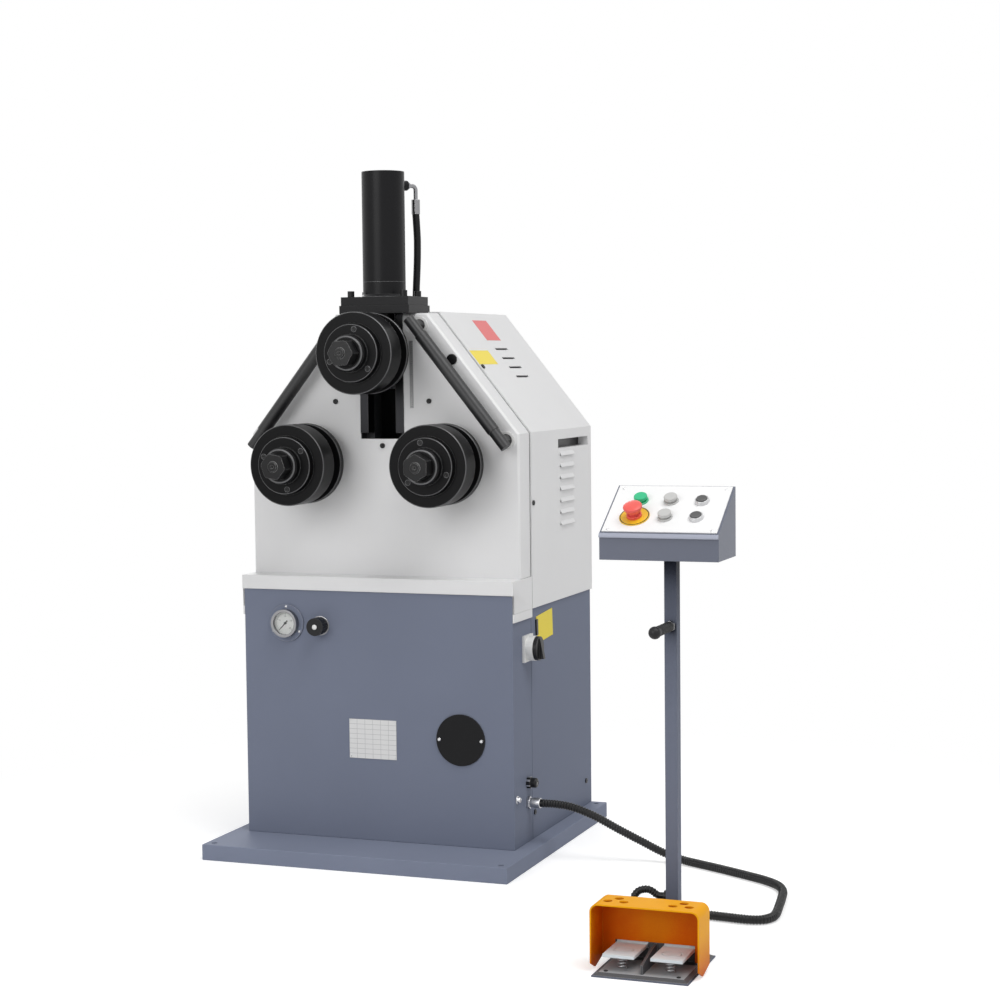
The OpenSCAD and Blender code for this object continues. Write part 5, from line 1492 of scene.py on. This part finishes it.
@dataclass
class RegulatorDress:
    """Centre cap and neck ring of the regulator knob."""

    centre: tuple[float, float] = (-142.0, 540.0)
    face_y: float = -239.0
    cap_r: float = 6.0
    front_y: float = -206.0
    neck_r: float = 13.5
    ring_r: float = 23.0

    def build(self) -> None:
        """Makes the pale cap and the ring behind the knob."""
        x, z = self.centre
        r = self.cap_r
        cap = [(0, 0), (r, 0), (r, 0.8), (r * 0.75, 1.6), (0, 2.0)]
        turned("regulator_cap", cap, [forward((x, self.face_y, z))], 32, WHITE_PLASTIC, Body.REGULATOR)
        neck = ring(self.neck_r, self.ring_r, 2.4, (1.0, 0.8))
        turned("regulator_ring", neck, [forward((x, self.front_y, z))], 48, DULL_ZINC)


# Plates, stickers and screws of the covers


@dataclass
class CoverTrim:
    """Bare plates, plain stickers, the scale and small screws on the covers."""

    panel_y: float = -150.0
    front_y: float = -206.0
    side_x: float = 340.0
    seam_y: float = -82.0
    roof: tuple[float, float] = (118.93, 1274.0)
    slope_deg: float = 51.465
    scale_x: tuple[float, float] = (71.0, 80.0)
    scale_z: tuple[float, float] = (1050.0, 1206.0)
    scale_t: float = 1.2
    marks: int = 31
    mark_pitch: float = 5.0
    plate_x: tuple[float, float] = (-71.0, 49.0)
    plate_z: tuple[float, float] = (230.0, 323.0)
    plate_t: float = 0.8
    rivet_in: float = 4.0
    rivet_r: float = 1.6
    inspection: tuple[float, float] = (210.0, 286.0)
    inspection_dx: float = 52.0
    conduit_y: float = -114.0
    hem_z: tuple[float, float] = (561.0, 581.0)
    hem_t: float = 4.0

    def build(self) -> None:
        """Makes every plate, sticker and screw."""
        self._scale()
        self._data_plate()
        self._stickers()
        self._fittings()
        self._sheets()

    def _scale(self) -> None:
        """Makes the plain scale strip beside the slide."""
        y = self.panel_y
        (left, right), (low, high) = self.scale_x, self.scale_z
        strip = ((left, y - self.scale_t, low), (right, y, high))
        slabs("slide_scale", [strip], SCALE_STEEL, rounding=0.3)
        marks = []
        for i in range(self.marks):
            width = 3.5 if i % 5 else 6.0
            z = low + 3 + self.mark_pitch * i
            marks.append(((right - 0.6 - width, y - 1.3, z - 0.3), (right - 0.6, y - 1.15, z + 0.3)))
        slabs("slide_scale_marks", marks, DIAL_INK)

    def _data_plate(self) -> None:
        """Makes the plate with a ruled table, its rivets and the screws of the inspection cover."""
        y = self.front_y - self.plate_t
        (left, right), (low, high) = self.plate_x, self.plate_z
        slabs("data_plate", [((left, y, low), (right, self.front_y, high))], DATA_PLATE, rounding=0.25)
        r, inset = self.rivet_r, self.rivet_in
        rivet = [(0, 0), (r, 0), (r * 0.7, 0.7), (0, 0.9)]
        corners = [(x, z) for x in (left + inset, right - inset) for z in (low + inset, high - inset)]
        turned("data_plate_rivets", rivet, [forward((x, y, z)) for x, z in corners], 16, BRIGHT_STEEL)
        x, z = self.inspection
        head = [(0, 0), (4.4, 0), (4.4, 2.0), (3.2, 3.3), (0, 3.6)]
        places = [forward((x + side * self.inspection_dx, self.front_y - 3, z)) for side in (-1, 1)]
        turned("inspection_screws", head, places, 24, BRIGHT_STEEL, slot="screw_steel")

    def _stickers(self) -> None:
        """Makes the two plain stickers on the right slope, and the plain tag with its clip."""
        slope = stand((self.roof[0], self.seam_y, self.roof[1]), self.slope_deg, "Y")
        tilt = stand((self.side_x, 10, 530), 4.0)
        slabs("red_sticker", [((22.6, 177, 0), (85, 272, 0.3))], STICKER_RED, place=slope)
        slabs("yellow_sticker", [((117, 4, 0), (159, 127, 0.3))], STICKER_YELLOW, place=slope)
        slabs("side_tag", [((0, -56, -33), (1.2, 60, 32))], TAG_YELLOW, place=tilt, rounding=0.4)
        slabs("side_tag_clip", [((0, -62, -12), (4.0, -50, 26))], BLACK_PLASTIC, place=tilt, rounding=1.2)

    def _fittings(self) -> None:
        """Makes the small plug, the supply gland's black skin and the conduit's bright sleeve."""
        dome = [(0, 0), (9.5, 0), (9.5, 1.6), (7.2, 1.6), (7.2, 6.0), (5.6, 8.4), (0, 9.2)]
        turned("side_plug", dome, [rightward((self.side_x, -188, 151))], 32, BRIGHT_STEEL)
        place = rightward((self.side_x, self.conduit_y, 178))
        dome = [(11.6, 19.0), (11.2, 21.4), (9.8, 23.2), (7.6, 24.0)]
        cap = [(5.6, 9), (11.6, 9), *dome, (5.6, 24.0), (5.6, 9)]
        gland = Piece().prism(24.8, 9.2, 6, place, 2.0).lathe(cap, place, 40)
        gland.done("supply_gland_skin", BLACK_PLASTIC, slot="black_plastic", smooth_deg=30.0)
        place = rightward((self.side_x + 16, self.conduit_y, 131))
        turned("conduit_sleeve", ring(10.1, 12.4, 15.5, (0.8, 1.0)), [place], 40, BRIGHT_STEEL)

    def _sheets(self) -> None:
        """Makes the dark sheets of painted shade in the hand pockets, the white hems under the ledge and the
        post fitting's collar.
        """
        # Painted shade: a dark sheet at the back of each hand pocket
        shade_sheets = [((x, 114.5, 946.5), (x + 0.8, 343.5, 967.5)) for x in (318.3, -319.1)]
        slabs("pocket_painted_shade", shade_sheets, BLACK_PLASTIC)
        low, high = self.hem_z
        hems = [
            ((x, self.front_y, low), (x + self.hem_t, self.seam_y, high))
            for x in (self.side_x, -self.side_x - self.hem_t)
        ]
        slabs("ledge_hems", hems, WHITE_COAT, "body_white", rounding=0.6)
        place = stand((848.5, -722, 98), -90.0, "Y")
        turned("post_fitting_skin", ring(8.3, 11.9, 6.2, (0.7, 0.6)), [place], 32, BLACK_PLASTIC)


# Console and grip


class Cap(Enum):
    """The kinds of push button on the console."""

    RAISED = "raised"
    FLUSH = "flush"


@dataclass
class ButtonDress:
    """One push button of the console, with its collar."""

    name: str
    body: Body
    across: float
    up: float
    finish: Finish
    collar_finish: Finish
    slot: str
    kind: Cap = Cap.RAISED

    @property
    def node(self) -> str:
        """Name of the solid that the cap stands for."""
        return self.name + "_button"

    def build(self, console: "ConsoleDress") -> None:
        """Makes the moving cap and the fixed collar.

        Args:
            console: The console that carries the button.
        """
        place = console.on_panel(self.across, self.up)
        cap = turned(self.name + "_cap", self._cap_profile(), [place], 48, self.finish, self.body, self.slot)
        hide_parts(self.node)
        turned(self.name + "_collar", self._collar_profile(), [place], 48, self.collar_finish)

    def _cap_profile(self) -> Profile:
        """Outline of the cap, from its flange under the panel to its crown."""
        under = [(0, -8), (13, -8), (13, -4), (10.8, -4)]
        if self.kind is Cap.FLUSH:
            return under + [(10.8, 10.2), (10.0, 11.0), (8.0, 10.6), (0, 10.3)]
        crown = [(13.3, 13.6), (12.4, 14.8), (9.5, 15.0), (0, 14.5)]
        return under + [(10.8, 9.4), (13.2, 9.4), (13.4, 9.8)] + crown

    def _collar_profile(self) -> Profile:
        """Outline of the collar, as a closed ring."""
        if self.kind is Cap.FLUSH:
            return [(11.25, 2), (14.8, 2), (14.8, 4.6), (13.2, 9.0), (12.4, 9.6), (11.25, 9.3), (11.25, 2)]
        return ring(11.25, 14.8, 5.2, (0.6, 0.8), 2.0)


@dataclass
class ConsoleDress:
    """Buttons, emergency stop, screws and lip of the control console."""

    middle_x: float = 856.0
    front_y: float = -800.0
    lip_z: float = 822.0
    panel_deg: float = 32.387
    panel_w: float = 230.0
    panel_t: float = 2.0
    screw_in: float = 11.0
    screw_up: tuple[float, float] = (10.0, 144.0)
    lip_profile: tuple[tuple[float, float], ...] = (
        (0.0, 0.6), (-2.4, -2.2), (-4.0, -5.6), (-4.0, -8.4), (0.0, -8.4)
    )
    half_w: float = 119.0
    stop: tuple[float, float] = (-60.0, 52.0)
    disc_r: float = 30.0
    neck_r: float = 14.9
    buttons: list[ButtonDress] = field(default_factory=lambda: [
        ButtonDress("start", Body.START, -59, 104, GREEN_PLASTIC, GREEN_PLASTIC, "green_plastic"),
        ButtonDress("upper_grey", Body.UPPER_GREY, 2, 104, GREY_PLASTIC, GREY_PLASTIC, "grey_plastic"),
        ButtonDress("lower_grey", Body.LOWER_GREY, 2, 51, GREY_PLASTIC, GREY_PLASTIC, "grey_plastic"),
        ButtonDress("upper_black", Body.UPPER_BLACK, 64, 104, CAP_BLACK, BRIGHT_STEEL,
                    "gloss_black", Cap.FLUSH),
        ButtonDress("lower_black", Body.LOWER_BLACK, 64, 51, CAP_BLACK, BRIGHT_STEEL,
                    "gloss_black", Cap.FLUSH),
    ])

    def on_panel(self, across: float, up: float, out: float = 0.0) -> Matrix:
        """Place on the console, with Z square to its plate.

        Args:
            across: Distance to the right of the middle.
            up: Distance up the slope from the front lip.
            out: Distance out of the slope.

        Returns:
            The matrix.
        """
        lip = stand((self.middle_x, self.front_y, self.lip_z), self.panel_deg)
        return lip @ Matrix.Translation((across, up, out))

    def build(self) -> None:
        """Makes the buttons, the emergency stop, the screws and the lip."""
        for button in self.buttons:
            button.build(self)
        self._stop()
        reach = self.panel_w / 2 - self.screw_in
        places = [self.on_panel(x, up, self.panel_t) for x in (-reach, reach) for up in self.screw_up]
        head = [(0, 0), (3.2, 0), (3.0, 0.9), (1.6, 1.5), (0, 1.6)]
        turned("console_screws", head, places, 20, BRIGHT_STEEL, slot="screw_steel")
        self._lip()

    def _lip(self) -> None:
        """Makes the folded lip along the top of the console's front."""
        y, z = self.front_y, self.lip_z
        lip = Piece()
        left = self.middle_x - self.half_w
        end = lip.bm.faces.new([lip.bm.verts.new((left, y + dy, z + dz)) for dy, dz in self.lip_profile])
        swept = bmesh.ops.extrude_face_region(lip.bm, geom=[end])["geom"]
        moved = [v for v in swept if isinstance(v, bmesh.types.BMVert)]
        bmesh.ops.translate(lip.bm, vec=(2 * self.half_w, 0, 0), verts=moved)
        bmesh.ops.recalc_face_normals(lip.bm, faces=lip.bm.faces)
        lip.done("console_lip", LIP_COAT, slot="cabinet_grey")

    def _stop(self) -> None:
        """Makes the emergency stop's head and its disc."""
        place = [self.on_panel(*self.stop)]
        head = [
            (0, -8), (10.8, -8), (10.8, 15.6), (14.0, 15.8), (15.6, 17.5), (18.6, 24.0), (19.0, 26.4),
            (18.0, 28.6), (14.5, 30.2), (8.0, 31.0), (0, 31.0),
        ]
        stop = turned("stop_head", head, place, 64, RED_PLASTIC, Body.STOP, "red_plastic")
        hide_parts("stop_button")
        r = self.disc_r
        disc = ring(self.neck_r, r + 0.2, 3.9, (0.6, 0.5), self.panel_t)
        turned("stop_disc", disc, place, 64, DISC_YELLOW)
        turned("stop_disc_line", ring(r - 2.6, r - 0.9, 4.15, foot=3.8), place, 64, BLACK_PLASTIC)
        turned("stop_neck", ring(11.3, self.neck_r, 9.3, (0.7, 0.7), 3.8), place, 48, RED_PLASTIC)


@dataclass
class GripDress:
    """Grip of the pedestal: a ribbed stem with a ball end and a lock nut."""

    foot: Point = (861.0, -734.5, 637.0)
    nut_l: float = 10.0
    length: float = 112.0
    stem_r: float = 9.2
    rib_r: float = 10.2
    rib_pitch: float = 4.0
    ribs: int = 19
    ball_r: float = 12.4
    ball_from: float = -50.0
    ball_turn: float = 140.0
    ball_steps: int = 16

    def build(self) -> None:
        """Makes the ribbed grip and the nut."""
        place = forward(self.foot)
        profile = [(0, self.nut_l), (self.stem_r, self.nut_l)]
        for i in range(self.ribs):
            h = self.nut_l + 2 + self.rib_pitch * i
            profile += [(self.stem_r, h), (self.rib_r, h + 0.9)]
            profile += [(self.rib_r, h + 2.1), (self.stem_r, h + 3.0)]
        middle = self.nut_l + self.length - self.ball_r
        for i in range(self.ball_steps + 1):
            a = math.radians(self.ball_from + self.ball_turn * i / self.ball_steps)
            profile.append((self.ball_r * math.cos(a), middle + self.ball_r * math.sin(a)))
        grip = Piece().lathe(profile, place, 40).done("pedestal_grip", GRIP_RUBBER, slot="black_plastic")
        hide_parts("grip_handle")
        nut = Piece().prism(20, self.nut_l - 0.2, 6, place, 1.5)
        nut.done("pedestal_grip_nut", DULL_ZINC, slot="bright_steel", smooth_deg=30.0)


# Foot switch


@dataclass
class FootSwitchDress:
    """Worn tread plate and screws on the base of the foot switch."""

    middle_x: float = 865.0
    base_top: float = 8.0
    plate_t: float = 0.15
    plate_half: float = 83.0
    plate_y: tuple[float, float] = (-965.0, -869.0)
    screw_y: float = -957.0
    screw_dx: float = 71.0

    def build(self) -> None:
        """Makes the plate and the screws."""
        low = (self.middle_x - self.plate_half, self.plate_y[0], self.base_top - 0.5)
        high = (self.middle_x + self.plate_half, self.plate_y[1], self.base_top + self.plate_t)
        slabs("pedal_tread_plate", [(low, high)], TREAD_ALLOY, "cast_aluminium")
        piece = Piece()
        for side in (-1, 1):
            at = (self.middle_x + side * self.screw_dx, self.screw_y, self.base_top)
            socket_screw(piece, stand(at), 8.0, 2.0)
        piece.done("pedal_base_screws", BLACK_OXIDE, slot="screw_steel")


# Nodes that keep their shape


@dataclass
class RoundedNode:
    """A sheet-metal node whose sharp folds become small rounds."""

    node: str
    finish: Finish
    slot: str
    width: float = 1.2
    least_length: float = 10.0

    def build(self) -> None:
        """Copies the node's mesh, merges it and rounds its long edges."""
        piece = Piece()
        piece.bm.from_mesh(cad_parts[self.node].data)
        bmesh.ops.scale(piece.bm, vec=(1 / MM, 1 / MM, 1 / MM), verts=piece.bm.verts)
        bmesh.ops.remove_doubles(piece.bm, verts=piece.bm.verts, dist=0.01)
        bmesh.ops.dissolve_limit(
            piece.bm, angle_limit=math.radians(0.3), verts=piece.bm.verts, edges=piece.bm.edges
        )
        piece.soften(self.width, 2, 30.0, self.least_length)
        rounded = piece.done(self.node + "_rounded", self.finish, Body.MACHINE, self.slot, 50.0)
        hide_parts(self.node)


ROUNDED = [
    RoundedNode("base_pan", PAN_LIT_COAT, "cabinet_grey", 1.6),
    RoundedNode("cabinet_front", GREY_COAT, "cabinet_grey"),
    RoundedNode("lower_rear_cover", GREY_COAT, "cabinet_grey"),
    RoundedNode("ledge_plate", WHITE_COAT, "body_white"),
    RoundedNode("console_box", CONSOLE_SHADED_COAT, "cabinet_grey", 0.8),
]

CARRIED = {
    WHITE_COAT: ["front_housing", "upper_rear_cover"],
    POST_COAT: ["pedestal_post"],
    FRAME_COAT: ["cabinet_frame", "front_frame_plate", "rear_frame_plate", "electric_panel"],
    BLACK_COAT: ["cylinder_bed", "cylinder_barrel", "blanking_covers"],
    ROD_BLACK: ["left_side_rod", "right_side_rod"],
    BLACK_OXIDE: ["socket_screws", "slide_block", "top_shaft", "left_shaft", "right_shaft"],
    GIB_STEEL: ["slide_gibs"],
    BRIGHT_STEEL: ["cable_glands", "shaft_bearings"],
    DULL_ZINC: ["hose_fitting", "gauge_case"],
    GROUND_STEEL: ["regulator_valve", "valve_block"],
    GEAR_STEEL: ["left_gear", "right_gear", "drive_pinion"],
    TANK_COAT: ["oil_tank", "pump_motor", "gear_motor"],
    BLACK_PLASTIC: ["regulator_knob", "switch_knob"],
    WHITE_PLASTIC: ["switch_base"],
    PANEL_WHITE: ["console_panel"],
    BASE_ALLOY: ["pedal_base"],
    CAST_ALLOY: ["left_pedal", "right_pedal"],
    GUARD_YELLOW: ["pedal_guard"],
    DIAL_INK: ["gauge_needle"],
    GLASS: ["gauge_lens"],
}


def dress_nodes() -> None:
    """Gives each node that keeps its shape its finish."""
    for finish, names in CARRIED.items():
        for name in names:
            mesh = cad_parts[name].data
            mesh.materials.clear()
            mesh.materials.append(finish.material())
            log.info("%s has %s", name, finish.name)


def main() -> None:
    """Builds the scene, piece by piece."""
    logging.basicConfig(level=logging.INFO, format="%(message)s")
    PhotoCamera().build()
    for line in LINES:
        line.build()
    Studio().build()
    for spring in SPRINGS:
        spring.build()
    for roll in ROLLS:
        roll.build()
    CylinderDress().build()
    RodWashers().build()
    GaugeDress().build()
    RegulatorDress().build()
    CoverTrim().build()
    ConsoleDress().build()
    GripDress().build()
    FootSwitchDress().build()
    for node in ROUNDED:
        node.build()
    dress_nodes()


if __name__ == "__main__":
    main()
